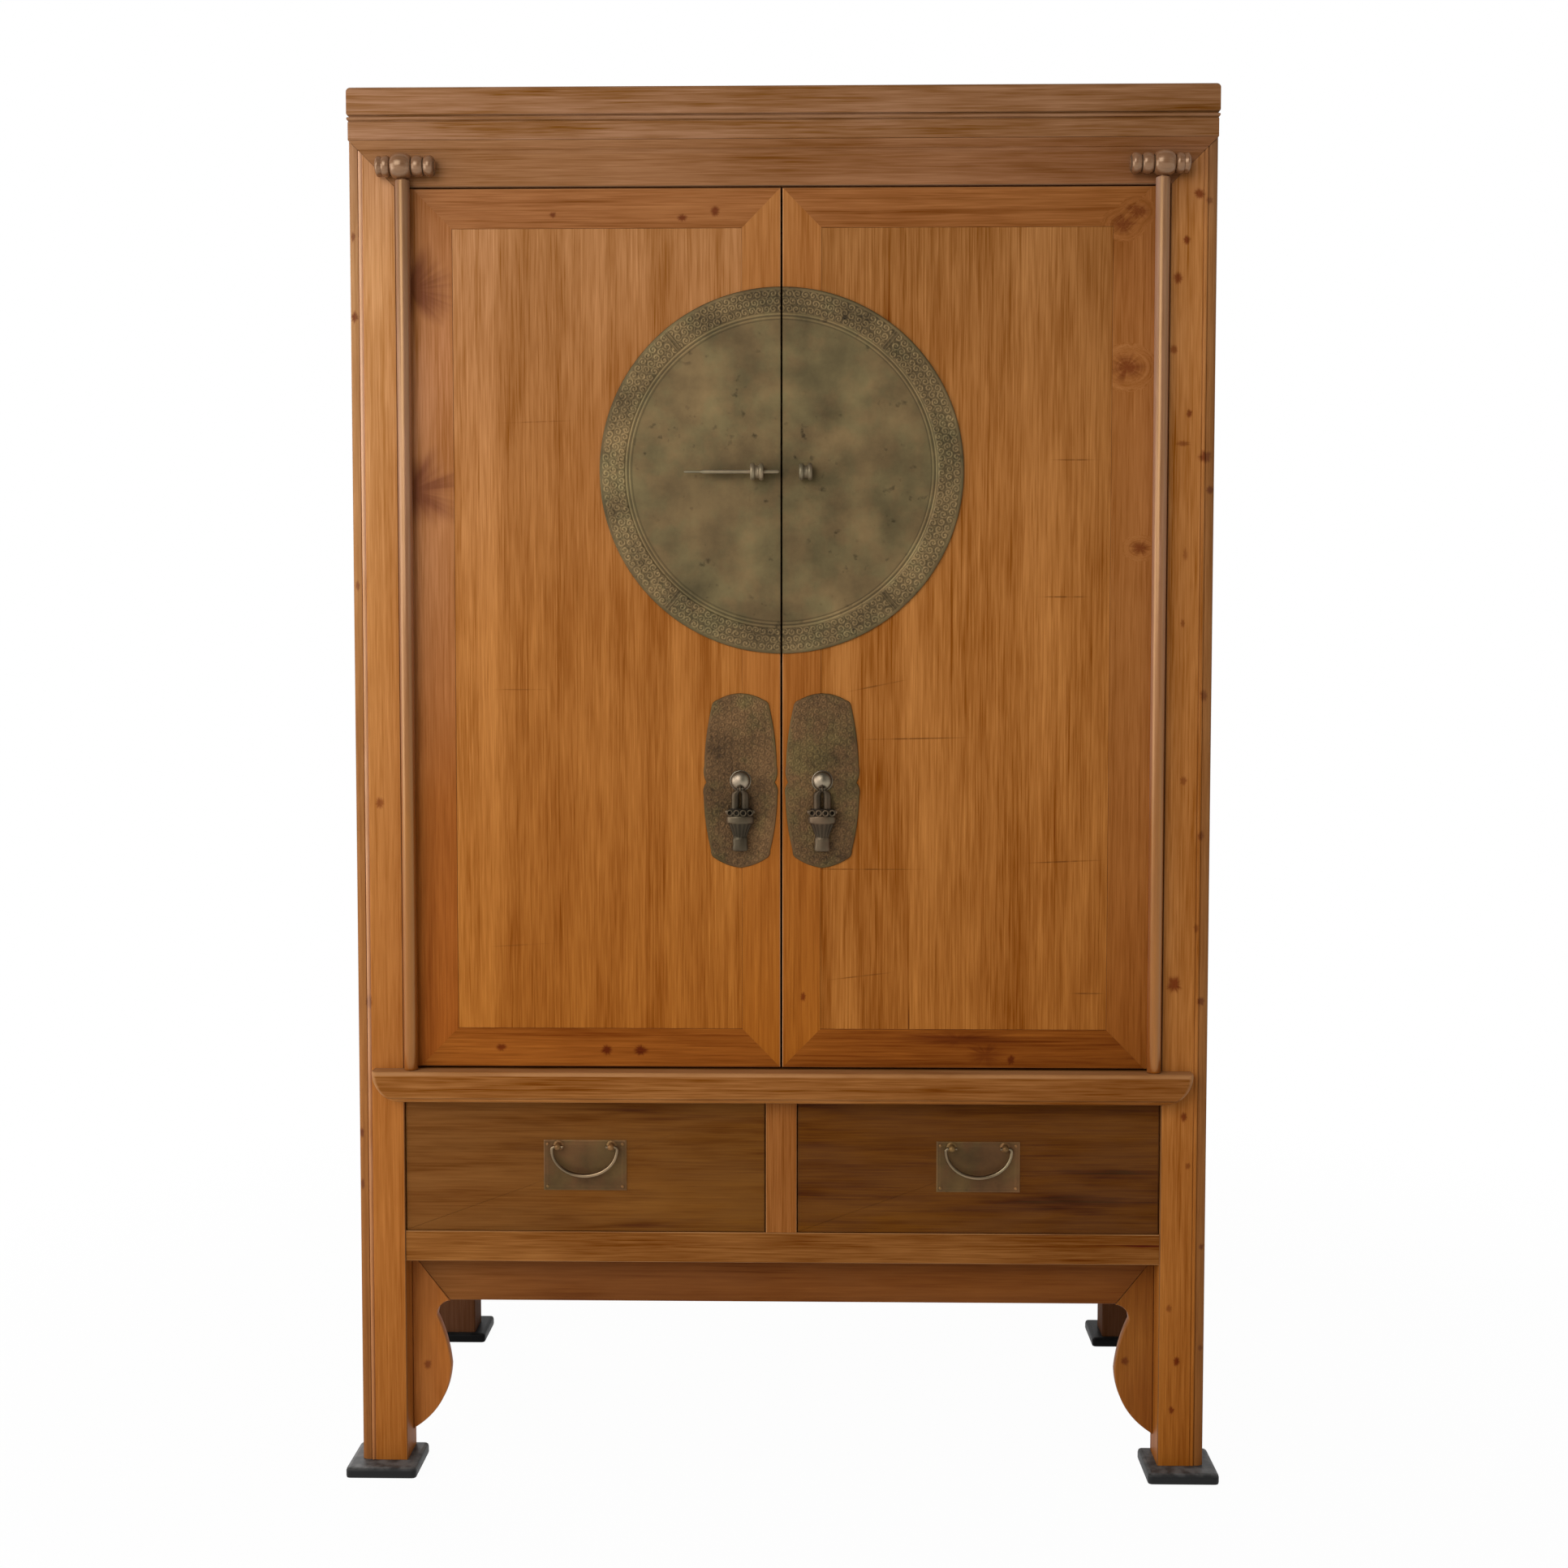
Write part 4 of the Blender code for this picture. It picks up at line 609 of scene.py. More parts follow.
# The rear posts are darkest at the foot and darker than the front ones: a painted shade, as they
# stand behind and under the case.
POST_REAR_SHADED = timber(
    "post_rear_painted_shade",
    [(0.02, (0.075, 0.029, 0.012)), (0.33, (0.11, 0.043, 0.016)), (0.6, (0.22, 0.085, 0.024)),
     (1.7, (0.27, 0.11, 0.035))],
    "z", 2.9, rough=0.7, gloss=0.03)

# %% Rails of the front
CORNICE_WOOD = timber(
    "cornice_brown", [(-0.55, (0.324, 0.155, 0.0720)), (0.55, (0.216, 0.096, 0.0375))],
    "x", 3.4, 1.2, "x", smoke=0.15, returns=True)
FRIEZE_WOOD = timber(
    "frieze_brown", [(-0.55, (0.291, 0.128, 0.0473)), (0.55, (0.206, 0.082, 0.0312))],
    "x", 4.2, 1.0, "x", smoke=0.12)
WAIST_WOOD = timber(
    "waist_amber", [(-0.5, (0.288, 0.109, 0.0249)), (0.5, (0.253, 0.092, 0.0205))],
    "x", 13.8, 1.3, "x")
LOW_RAIL = timber(
    "drawer_rail_brown", [(-0.5, (0.241, 0.087, 0.0169)), (0.5, (0.212, 0.076, 0.0149))],
    "x", 14.9, 1.5, "x")
DIVIDER_WOOD = timber("divider_honey", [(0.3, (0.278, 0.095, 0.0196))], "z", 15.3, 0.9)
APRON_WOOD = timber(
    "apron_brown",
    [(-0.48, (0.216, 0.076, 0.0165)), (-0.30, (0.148, 0.043, 0.0068)),
     (0.48, (0.148, 0.041, 0.0046))],
    "x", 16.7, 1.0, "x")
# The left wing is much paler than the right one: painted light that makes up for the shadow that
# the left post casts on it.
WING_LEFT_LIT = timber(
    "spandrel_left_painted_light",
    [(0.10, (0.410, 0.128, 0.0216)), (0.167, (0.388, 0.117, 0.0164)),
     (0.245, (0.316, 0.097, 0.0164))],
    "z", 17.5, knots=((-0.4706, 0.1291, 0.007, 0.008, 0.9),))
WING_RIGHT = timber(
    "spandrel_right_brown",
    [(0.10, (0.224, 0.066, 0.0082)), (0.167, (0.272, 0.092, 0.0125)),
     (0.245, (0.165, 0.045, 0.0034))],
    "z", 21.3, knots=((0.4533, 0.1390, 0.007, 0.008, 0.9),))

# %% Bars of the doors
CORNER_KNOTS = (0.4489, 1.6272, 0.016, 0.013, 0.6), (0.4307, 1.6111, 0.019, 0.014, 0.6)

STILE_LEFT = timber(
    "hinge_stile_left_red",
    [(0.54, (0.285, 0.072, 0.0070)), (0.88, (0.306, 0.089, 0.0140)),
     (1.19, (0.402, 0.158, 0.0525)), (1.45, (0.455, 0.187, 0.0705)),
     (1.65, (0.329, 0.124, 0.0386))],
    "z", 5.7, 0.9, stain=FAN_SHADE,
    knots=((-0.472, 1.533, 0.066, 0.048, 0.9), (-0.474, 1.279, 0.072, 0.054, 0.9)))
STILE_RIGHT = timber(
    "hinge_stile_right_red",
    [(0.54, (0.258, 0.078, 0.0105)), (1.10, (0.310, 0.113, 0.0262)),
     (1.50, (0.318, 0.117, 0.0295)), (1.65, (0.232, 0.079, 0.0170))],
    "z", 6.1, 0.9,
    knots=((0.4373, 1.4328, 0.026, 0.020, 0.7), (0.4568, 1.2048, 0.016, 0.011, 0.7),
           *CORNER_KNOTS))
MEETING_WOOD = timber(
    "meeting_stile_honey", [(0.54, (0.306, 0.089, 0.0075)), (1.66, (0.343, 0.131, 0.0335))],
    "z", 7.9, 0.9, knots=((0.0283, 0.6288, 0.005, 0.008, 0.8),))
TOP_RAILS = timber(
    "door_top_rail_amber", [(-0.48, (0.268, 0.097, 0.0276)), (0.48, (0.224, 0.075, 0.0156))],
    "x", 8.3, 1.2, "x",
    knots=(*CORNER_KNOTS, (-0.2903, 1.6259, 0.006, 0.005, 0.8),
           (-0.1256, 1.622, 0.009, 0.006, 0.8), (-0.0844, 1.6299, 0.008, 0.008, 0.8)))
FOOT_RAILS = timber(
    "door_foot_rail_red", [(-0.48, (0.272, 0.075, 0.0076)), (0.48, (0.173, 0.044, 0.0036))],
    "x", 9.5, 1.3, "x",
    knots=((-0.3633, 0.5612, 0.009, 0.007, 0.8), (-0.2262, 0.5585, 0.010, 0.009, 0.9),
           (-0.1820, 0.5580, 0.012, 0.009, 0.9), (0.2274, 0.5734, 0.085, 0.010, 0.6),
           (0.2642, 0.5534, 0.030, 0.018, 0.5), (0.2966, 0.5471, 0.007, 0.008, 0.8)))
# The pole's tone turns paler and greyer towards the top, a painted sheen.
POLE_WOOD = lacquered(timber(
    "pole_rose",
    [(0.5, (0.240, 0.064, 0.0030)), (0.86, (0.232, 0.070, 0.0070)), (1.2, (0.292, 0.132, 0.0700)),
     (1.7, (0.258, 0.127, 0.0640))],
    "z", 12.4, 0.7, rough=0.32, gloss=0.62), (1.0, 0.62, 0.30))

# %% Panels and drawer fronts
PANEL_LEFT = timber(
    "door_panel_left_honey",
    [(0.58, (0.330, 0.105, 0.0126)), (1.1, (0.353, 0.125, 0.0236)), (1.6, (0.359, 0.150, 0.0476))],
    "z", 10.2, 1.15, lean=(-0.42, -0.32, (1.20, 1.27, 1.48)),
    scratches=((-0.3129, 1.3659, 0.06, 0.03, 0.3), (-0.3364, 1.0249, 0.045, 0.0, 0.35),
               (-0.3391, 0.6946, 0.05, 0.06, 0.3)))
PANEL_RIGHT = timber(
    "door_panel_right_honey",
    [(0.58, (0.324, 0.109, 0.0169)), (1.1, (0.360, 0.132, 0.0271)), (1.6, (0.287, 0.112, 0.0282))],
    "z", 11.6, 1.25, lean=(0.42, 0.33, (0.90, 0.88, 0.84)),
    scratches=((0.3615, 1.1433, 0.042, 0.0, 0.7), (0.1688, 0.9623, 0.085, 0.02, 0.7),
               (0.10, 0.794, 0.10, 0.0, 0.6), (0.365, 0.8045, 0.060, 0.04, 0.7),
               (0.3736, 1.3167, 0.038, 0.0, 0.6), (0.3942, 0.6339, 0.028, 0.0, 0.7),
               (0.1219, 1.0298, 0.048, 0.2, 0.6), (0.1016, 0.6554, 0.052, 0.12, 0.55),
               (0.1646, 0.5933, 0.032, 1.57, 0.8)))
DRAWER_LEFT = timber(
    "drawer_left_umber", [(-0.49, (0.161, 0.054, 0.0105)), (-0.02, (0.125, 0.039, 0.0023))],
    "x", 18.1, 1.3, "x", smoke=0.55, gloss=0.02)
DRAWER_RIGHT = timber(
    "drawer_right_umber", [(0.02, (0.105, 0.030, 0.0009)), (0.49, (0.088, 0.024, 0.0009))],
    "x", 19.6, 1.6, "x", smoke=0.7, gloss=0.02)

# %% Boards that the front hides
SIDE_PANEL = timber(
    "side_panel_honey", [(0.3, (0.27, 0.09, 0.018)), (1.7, (0.33, 0.13, 0.04))], "z", 20.4, 0.9)
SIDE_RAIL = timber(
    "side_rail_amber", [(0.3, (0.24, 0.085, 0.02)), (1.7, (0.28, 0.11, 0.035))], "y", 21.2, 0.9)
BACK_WOOD = timber(
    "back_board_dry", [(0.3, (0.24, 0.13, 0.06)), (1.7, (0.30, 0.17, 0.085))], "z", 22.8,
    pins=0.08, rough=0.62)
BACK_RAIL = timber("back_rail_dry", [(0.3, (0.25, 0.12, 0.05))], "x", 23.5, rough=0.6)
INNER_WOOD = timber("inside_board_bare", [(0.3, (0.40, 0.24, 0.125))], "x", 24.7, 0.9, rough=0.62)
BOX_SIDE = timber("drawer_side_bare", [(0.3, (0.38, 0.23, 0.12))], "y", 25.9, 0.9, rough=0.62)

# %% [markdown]
# ## Boards that keep their solid
# The door panels, the sides, the back and everything inside are flat boards, and their solids
# already have the right shape. They only need timber, with the grain the way each board was cut.

# %% Timber on the plain boards
plain_boards = {
    "door_left_panel": PANEL_LEFT, "door_right_panel": PANEL_RIGHT,
    "post_rear_left": POST_REAR_SHADED, "post_rear_right": POST_REAR_SHADED,
    "side_panel_left": SIDE_PANEL, "side_panel_right": SIDE_PANEL,
    "side_top_rail_left": SIDE_RAIL, "side_top_rail_right": SIDE_RAIL,
    "side_bottom_rail_left": SIDE_RAIL, "side_bottom_rail_right": SIDE_RAIL,
    "back_panel": BACK_WOOD, "rear_bottom_rail": BACK_RAIL,
    "cupboard_floor": INNER_WOOD, "shelf": INNER_WOOD, "drawer_deck": INNER_WOOD,
    "drawer_left_box": BOX_SIDE, "drawer_right_box": BOX_SIDE,
    "drawer_left_bottom": INNER_WOOD, "drawer_right_bottom": INNER_WOOD,
}
for name, finish in plain_boards.items():
    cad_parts[name].data.materials.clear()
    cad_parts[name].data.materials.append(finish)
print("boards that keep their solid:", len(plain_boards))

# %% [markdown]
# ## Front posts and frieze
# The front frame has a moulded outer edge that runs up one post, across the frieze and down the
# other: a quarter round, a quirk, and a thin bead beside it. It is one section carried along three
# lines, and the ends are cut to a mitre, as the joiner cut them.

# %% Moulded frame
HALF_W, FRONT = 0.550, -0.281
POST_W, POST_D, FRIEZE_H = 0.0595, 0.056, 0.059
Z_NECK, FOOT_TOP = 1.720, 0.0143
ROUND_W, QUIRK, BEAD_MID, BEAD_R, MOULDING_W = 0.0116, 0.0010, 0.0148, 0.0027, 0.0186
POST_FALL, FRIEZE_FALL, FRIEZE_GAP = 0.0065, 0.0007, 0.00045
SIDES = (("left", -1), ("right", 1))


def edge_moulding(fall, deep, painted_light_mark):
    """Rounded outer side that falls back by fall, a quirk, and a bead beside it, as (in from the
    outer side, back from the front). deep scales the quirk and the bead. The bead's crest is
    painted pale as a highlight by the amount given last, and the rounded side and the bead's
    flanks are darker."""
    sweep = np.radians(np.linspace(180, 270, 10))
    outer = gather(ROUND_W + ROUND_W * np.cos(sweep),
                   fall + (fall - QUIRK * deep) * np.sin(sweep))
    roll = np.radians(np.linspace(180, 335, 14))
    bead = gather(BEAD_MID + BEAD_R * np.cos(roll), BEAD_R * deep * (1 + np.sin(roll)))
    bead_light = np.where(np.sin(roll) < -0.4, painted_light_mark, -0.25 * deep)
    wear = np.concatenate((-0.50 * deep * np.ones(len(outer)), bead_light, [0.0]))
    return np.concatenate((outer, bead, [(MOULDING_W, 0.0)])), wear


def frame_section(width, fall, deep, painted_light_mark):
    """The moulding, followed by the three plain corners of the timber. The one beside the doors is
    painted dark as the shade of the gap beside it, and the two at the back are paler with use."""
    moulding, wear = edge_moulding(fall, deep, painted_light_mark)
    plain, plain_wear_and_shade = softened(
        [(MOULDING_W, 0.0), (width, 0.0), (width, POST_D), (0.0, POST_D), (0.0, fall)],
        (0.0002, 0.0013, 0.0003, 0.0015, 0.0002))
    # Six points to a corner; the first and the last corner belong to the moulding.
    corners = slice(6, 24)
    # The corner beside the doors gets a painted shade; the two at the back are paled by handling.
    plain_wear_and_shade = plain_wear_and_shade[corners] * np.repeat((-1.0, 0.5), (6, 12))
    return np.concatenate((moulding, plain[corners])), np.concatenate((wear, plain_wear_and_shade))


# How pale the bead's crest is at the foot and at the head of each post: a painted highlight,
# strongest at the head of the left post.
for (side, sign), finish, bead_highlights in zip(SIDES, (POST_LEFT, POST_RIGHT), ((0.3, 1.0), (0.1, 0.25))):
    section = frame_section(POST_W, POST_FALL, 1.0, 1.0)[0]
    wear = np.stack([frame_section(POST_W, POST_FALL, 1.0, painted_light_mark)[1] for painted_light_mark in bead_highlights])
    post = carried(section, lambda a, b, run: (sign * (HALF_W - a), FRONT + b, run),
                   FOOT_TOP, lambda a: Z_NECK - a * FRIEZE_H / POST_W, wear)
    make_piece(f"front_post_{side}", [post], finish, "case", [f"post_front_{side}"])

section, wear = frame_section(FRIEZE_H, FRIEZE_FALL, 0.3, 0.3)
frieze = carried(section, lambda a, b, run: (run, FRONT + b, Z_NECK - a),
                 lambda a: a * POST_W / FRIEZE_H + FRIEZE_GAP - HALF_W,
                 lambda a: HALF_W - a * POST_W / FRIEZE_H - FRIEZE_GAP, wear)
make_piece("frieze", [frieze], FRIEZE_WOOD, "case", ["frieze_rail"])

# %% [markdown]
# ## Cornice
# The top is a rounded cap over a small bead and a plain neck. A joiner runs the moulding in lengths
# and mitres them round the case. Here each point of the profile is a rectangle round the case, and
# the rectangles are joined in order, so the four mitres come by themselves. Like most pieces that
# meet, it is kept a hair's breadth off its neighbours.

# %% Cornice moulding
Z_TOP, Z_CAP, Z_BEAD = 1.787, 1.751, 1.7435
CASE_DEPTH, RIM_IN = 0.562, -0.034
BEAD_RISE = 0.0034
HAIR = 0.0003


def arc(centre_out, centre_z, radius, start, end, steps):
    """Points on a circle between two angles in degrees, as (out from the case, height)."""
    sweep = np.radians(np.linspace(start, end, steps))
    return gather(centre_out + radius * np.cos(sweep), centre_z + radius * np.sin(sweep))


profile = np.concatenate((
    [(RIM_IN, Z_TOP - 0.022), (RIM_IN, Z_NECK + HAIR), (0.0, Z_NECK + HAIR)],
    [(0.0, Z_BEAD - 0.0010), (-0.0006, Z_BEAD - 0.0003), (-0.0016, Z_BEAD)],
    arc(-0.0008, Z_BEAD + BEAD_RISE, 0.0022, -90, 90, 10),
    [(-0.0018, Z_CAP - 0.0008), (-0.0012, Z_CAP)],
    arc(-0.0010, Z_CAP + 0.0025, 0.0025, -70, 0, 6),
    arc(-0.0055, Z_TOP - 0.007, 0.007, 0, 90, 9)))
out, height = profile.T[:, :, None]
corner_x, corner_y = np.array((-1, 1, 1, -1)), np.array((-1, -1, 1, 1))
rings = gather(corner_x * (HALF_W + out), corner_y * (CASE_DEPTH / 2 + out), height)
# The bead is painted pale as a highlight, and the grooves below it and under the cap are painted
# dark as shade.
in_groove = (np.abs(height - Z_BEAD) < 0.0005) | (np.abs(height - Z_CAP) < 0.0009)
on_bead = np.abs(height - Z_BEAD - BEAD_RISE) < 0.0021
painted_light_mark = np.where(on_bead, 0.45, np.where(in_groove, -0.4, 0.0))
make_piece("cornice_moulding", [tube_shell(rings, painted_light_mark)], CORNICE_WOOD, "case",
           ["cornice"])

# %% [markdown]
# ## Waist rail, drawer rail and divider
# The waist rail stands proud of the posts and carries the feet of the door poles. Its nosing has a
# soft upper edge, a small bead along its foot, and ends that are cut back obliquely and eased over.

# %% Waist rail
INNER_X, Z_WAIST, Z_FLOOR = 0.4905, 0.4945, 0.5335
RAIL_BACK = FRONT + POST_D
NOSE, NOSE_BACK = FRONT - 0.0275, FRONT - 0.0155
FOOT_BEAD, TOP_EASE, END_EASE = 0.0022, 0.004, 0.0072
FOOT_REACH, END_REACH = 0.003, 0.0345

bead = arc(NOSE + FOOT_BEAD, Z_WAIST + FOOT_BEAD, FOOT_BEAD, 270, 120, 10)
rise = np.linspace(Z_WAIST + 0.0056, Z_FLOOR - TOP_EASE, 16)
top_edge = arc(NOSE + TOP_EASE, Z_FLOOR - TOP_EASE, TOP_EASE, 180, 90, 8)
nosing = np.concatenate((bead, gather(NOSE, rise), top_edge[1:]))


def nosing_rings():
    """Level slices of the nosing. Its half length grows from foot to head as a quarter ellipse, and
    each slice turns back to the post round a corner. The top edge and those corners are paled
    fully, by handling and a painted highlight, and a painted shade lies in the crease above the
    bead."""
    depth, height = nosing.T[:, :, None]
    share = np.clip((height - Z_WAIST) / (Z_FLOOR - Z_WAIST), 0, 1)
    half = INNER_X + FOOT_REACH + END_REACH * np.sqrt(1 - (1 - share) ** 2)
    turn = np.radians(np.linspace(180, 270, 8))
    eased = half - END_EASE * (1 + np.cos(turn))
    x = np.concatenate((-eased, eased[:, ::-1], half, -half), 1)
    back = depth + END_EASE * (1 + np.concatenate((np.sin(turn), np.sin(turn)[::-1])))
    back = np.concatenate((back, np.full((len(nosing), 2), FRONT - HAIR)), 1)
    corner = np.concatenate((np.sin(2 * turn), np.sin(2 * turn)[::-1], (0.0, 0.0)))
    wear = np.where(height > Z_FLOOR - 0.0045, 0.8, 0.0)
    wear = np.maximum(wear, 0.8 * np.abs(corner) * (share > 0.12))
    # A painted shade in the crease above the bead.
    wear[len(bead) - 1:len(bead) + 1] = -0.35
    return gather(x, back, height), wear


def along_x(a, b, run):
    """Place of a section of (y, z) that is carried from left to right."""
    return run, a, b


behind = softened(oblong(NOSE_BACK, RAIL_BACK, Z_WAIST + HAIR, Z_FLOOR - HAIR), 0.0003)[0]
body_shell = carried(behind, along_x, HAIR - INNER_X, INNER_X - HAIR)
make_piece("waist_nosing", [tube_shell(*nosing_rings()), body_shell], WAIST_WOOD, "case",
           ["waist_rail"])

# %% Drawer rail and divider
Z_RAIL, Z_DRAWER = 0.279, 0.319
RAIL_FACE, DIVIDER_HALF, GUIDE_END = FRONT + 0.0015, 0.020, 0.2527

rail, wear = softened(oblong(RAIL_FACE, RAIL_BACK, Z_RAIL, Z_DRAWER), 0.0016)
low_rail = carried(rail, along_x, HAIR - INNER_X, INNER_X - HAIR, wear)
make_piece("rail_below_drawers", [low_rail], LOW_RAIL, "case", ["drawer_rail"])

stub, wear = softened(oblong(-DIVIDER_HALF, DIVIDER_HALF, RAIL_FACE, RAIL_BACK), 0.0013)
divider = carried(stub, lambda a, b, run: (a, b, run), Z_DRAWER + HAIR, Z_WAIST - HAIR, wear)
strip = softened(oblong(-DIVIDER_HALF, DIVIDER_HALF, Z_DRAWER + HAIR, Z_DRAWER + 0.020), 0.001)[0]
guide = carried(strip, lambda a, b, run: (a, run, b), RAIL_BACK - 0.004, GUIDE_END)
make_piece("divider_and_guide", [divider, guide], DIVIDER_WOOD, "case",
           ["drawer_divider"])

# %% [markdown]
# ## Apron and spandrels
# Below the drawers a plain apron is mitred into two shaped wings. The wings' edge is three bows
# with a cusp between the first two. It is an outline raised in steps, and the first and last step
# are drawn in a little, so that the sawn edge looks eased by a file and not cut by a machine.

# %% Apron
APRON_FACE, APRON_T, APRON_CLEAR, APRON_MITRE = -0.243, 0.016, 0.216, 0.0502
WING_X = INNER_X - HAIR
EASED_IN = np.array((0.0012, 0.0004, 0.0, 0.0, 0.0004, 0.0012))
EASED_AT = np.array((0.0, 0.0004, 0.0012, APRON_T - 0.0012, APRON_T - 0.0004, APRON_T)) + APRON_FACE
EASED_RUB = np.array((0.4, 1.0, 0.6, 0.0, 0.0, 0.0))[:, None]


def facing_front(a, b, level):
    """Place of an outline of (x, z) that is raised in steps from front to back."""
    return a, level, b


board = softened([(-WING_X, Z_RAIL - HAIR), (APRON_MITRE - WING_X, APRON_CLEAR),
                  (WING_X - APRON_MITRE, APRON_CLEAR), (WING_X, Z_RAIL - HAIR)], 0.0006, 3)[0]
apron = banked(board, EASED_IN * 0.4, EASED_AT, facing_front, EASED_RUB)
make_piece("apron_board", [apron], APRON_WOOD, "case", ["apron"])

# %% Shaped wings
def bowed(start, end, rise, steps=16):
    """Points after start, up to end, on the parabola that rises to the right of the way there."""
    start, end = np.array(start), np.array(end)
    along = end - start
    aside = np.array((along[1], -along[0])) / np.linalg.norm(along)
    t = np.linspace(0, 1, steps + 1)[1:, None]
    return start + along * t + aside * (4 * rise * t * (1 - t))


corner, cusp, lobe, toe = (0.050, 0.2151), (0.0322, 0.195), (0.0507, 0.127), (0.0, 0.0415)
wing = np.concatenate(([(0.0, Z_RAIL - 0.0012), corner], bowed(corner, cusp, 0.005),
                       bowed(cusp, lobe, -0.003), bowed(lobe, toe, -0.0132, 28)))
for (side, sign), finish in zip(SIDES, (WING_LEFT_LIT, WING_RIGHT)):
    shell = banked(wing[::-1], EASED_IN, EASED_AT,
                   lambda a, b, y: (sign * (WING_X - a), y, b), EASED_RUB)
    make_piece(f"wing_{side}", [shell], finish, "case", [f"spandrel_{side}"], 40)

# %% [markdown]
# ## Foot pads
# The legs end in square black pads. Each is an outline with round corners, raised in steps with a
# soft upper edge, in a black paint that is grey on top, with dust and a painted sheen.

# %% Black paint
DUST_AND_SHEEN_TINT = np.array((1.0, 0.97, 0.94))


def worn_black(name, base, dust_and_sheen_grey, gloss, rough):
    """Black paint: a dark base, a pale grey of dust and painted sheen where the wear mark and a
    coarse noise are high, and an uneven gloss."""
    made, tree, shader, spot = new_finish(name)
    coarse, fine = noise_at(tree, spot, 60.0, 5.0), noise_at(tree, spot, 700.0, 2.0)
    dust_and_sheen = between(tree, coarse, 0.36, 0.66, 0.3, 1.0)
    dust_and_sheen = reckon(tree, "MULTIPLY", dust_and_sheen, mark_at(tree, "wear"))
    coloured = blend_colour(tree, dust_and_sheen, opaque((base,) * 3), opaque(dust_and_sheen_grey * DUST_AND_SHEEN_TINT))
    dress(tree, shader, coloured, rough, (coarse, 0.2), gloss, fine, (0.12, 0.0008))
    return made


FRONT_BLACK = worn_black("foot_black_dust_and_sheen", 0.006, 0.15, 0.25, 0.50)
# The rear pads get a darker, duller copy of the black: a painted shade, as they stand deeper under
# the case.
REAR_BLACK_SHADED = worn_black("foot_black_painted_shade", 0.004, 0.02, 0.05, 0.40)

# %% Pads
PAD_HALF, PAD_OUT = 0.046, 0.028
PAD_IN = np.array((0.0022, 0.0006, 0.0, 0.0, 0.0008, 0.0026, 0.0056))
PAD_UP = np.array((0.0, 0.0007, 0.0028, 0.0095, 0.0122, 0.0136, 0.014))
# Paler towards the top: dust, and a painted sheen of the top surface.
PAD_DUST_AND_SHEEN = np.array((0.0, 0.0, 0.0, 0.0, 0.3, 0.8, 0.9))[:, None]

square = softened(oblong(-PAD_HALF, PAD_HALF, -PAD_HALF, PAD_HALF), 0.007, 8)[0]
front_y = FRONT - PAD_OUT + PAD_HALF
for end, middle_y, finish in (("front", front_y, FRONT_BLACK), ("rear", -front_y, REAR_BLACK_SHADED)):
    for side, sign in SIDES:
        middle_x = sign * (HALF_W - POST_W / 2)
        shell = banked(square, PAD_IN, PAD_UP,
                       lambda a, b, z: (middle_x + a, middle_y + b, z), PAD_DUST_AND_SHEEN)
        make_piece(f"pad_{end}_{side}", [shell], finish, "case",
                   [f"foot_pad_{end}_{side}"])

# %% [markdown]
# ## Door frames and poles
# Each door is four bars mitred round a flush panel. The outer bar carries a round pole, and the
# door turns on the pole's two pins. The bars are plain sections with eased edges, carried between
# mitres.

# %% Door bars
LEAF_FACE, LEAF_T = -0.280, 0.026
LEAF_FOOT, LEAF_HEAD = 0.5365, 1.659
LEAF_IN, LEAF_OUT = 0.0013, 0.4885
STILE_W, COVER_W, MEETING_W, RAIL_W = 0.0695, 0.0205, 0.049, 0.050
MITRE_GAP = 0.00005


def bar_section(width, square=None):
    """Plain bar, outer edge at 0 and panel edge at its width, front at 0. square is where its ends
    change from a square cut to a mitre, and has a point on the front and on the back."""
    corners, radii = oblong(0.0, width, 0.0, LEAF_T), [0.0013, 0.0002, 0.0004, 0.0008]
    if square:
        corners[1:1], radii[1:1] = [(square, 0.0)], [0.0002]
        corners[4:4], radii[4:4] = [(square, LEAF_T)], [0.0002]
    return softened(corners, radii)


def stile_cut(width, square):
    """Foot and head of an upright bar: square on its outer part, mitred at the rail's slope."""
    slope = RAIL_W / (width - square)
    return (lambda a: LEAF_FOOT + np.maximum(a - square, 0) * slope,
            lambda a: LEAF_HEAD - np.maximum(a - square, 0) * slope)


# %% Poles
POLE_X, POLE_Y, POLE_R, POLE_HEAD = 0.4788, -0.2912, 0.009, 1.6672
PIN_R, PIN_LENGTH, POLE_STEPS = 0.0045, 0.011, 40
WEB_HALF, WEB_SHORT = 0.005, 0.025


def pole_shell(sign):
    """Round pole with eased ends and a pin at each, from the waist rail up to the bracket. Its mark
    goes as the cosine round it: a painted highlight on its left side, strongest at the top, and a
    painted shade on its right side."""
    foot, head = Z_FLOOR + HAIR, POLE_HEAD
    ends = np.array((
        (0.0005, foot - PIN_LENGTH), (PIN_R, foot - PIN_LENGTH), (PIN_R, foot), (0.0075, foot),
        (0.0086, foot + 0.0006), (POLE_R, foot + 0.0016), (POLE_R, head - 0.0016),
        (0.0086, head - 0.0006), (0.0075, head), (PIN_R, head), (PIN_R, head + PIN_LENGTH),
        (0.0005, head + PIN_LENGTH)))
    leftward = -np.cos(circle(POLE_STEPS))
    # Painted highlight on the left side, stronger above 1 m, and painted shade on the right.
    painted_highlight = np.where(ends[:, 1:] > 1.0, 0.75, 0.3)
    wear = np.where(leftward > 0, painted_highlight, 0.45) * leftward
    return turned(ends, lambda a, b, run: (sign * POLE_X + a, POLE_Y + b, run), POLE_STEPS, wear)


web = softened(oblong(-WEB_HALF, WEB_HALF, POLE_Y, LEAF_FACE + 0.004), 0.0004, 3)[0]

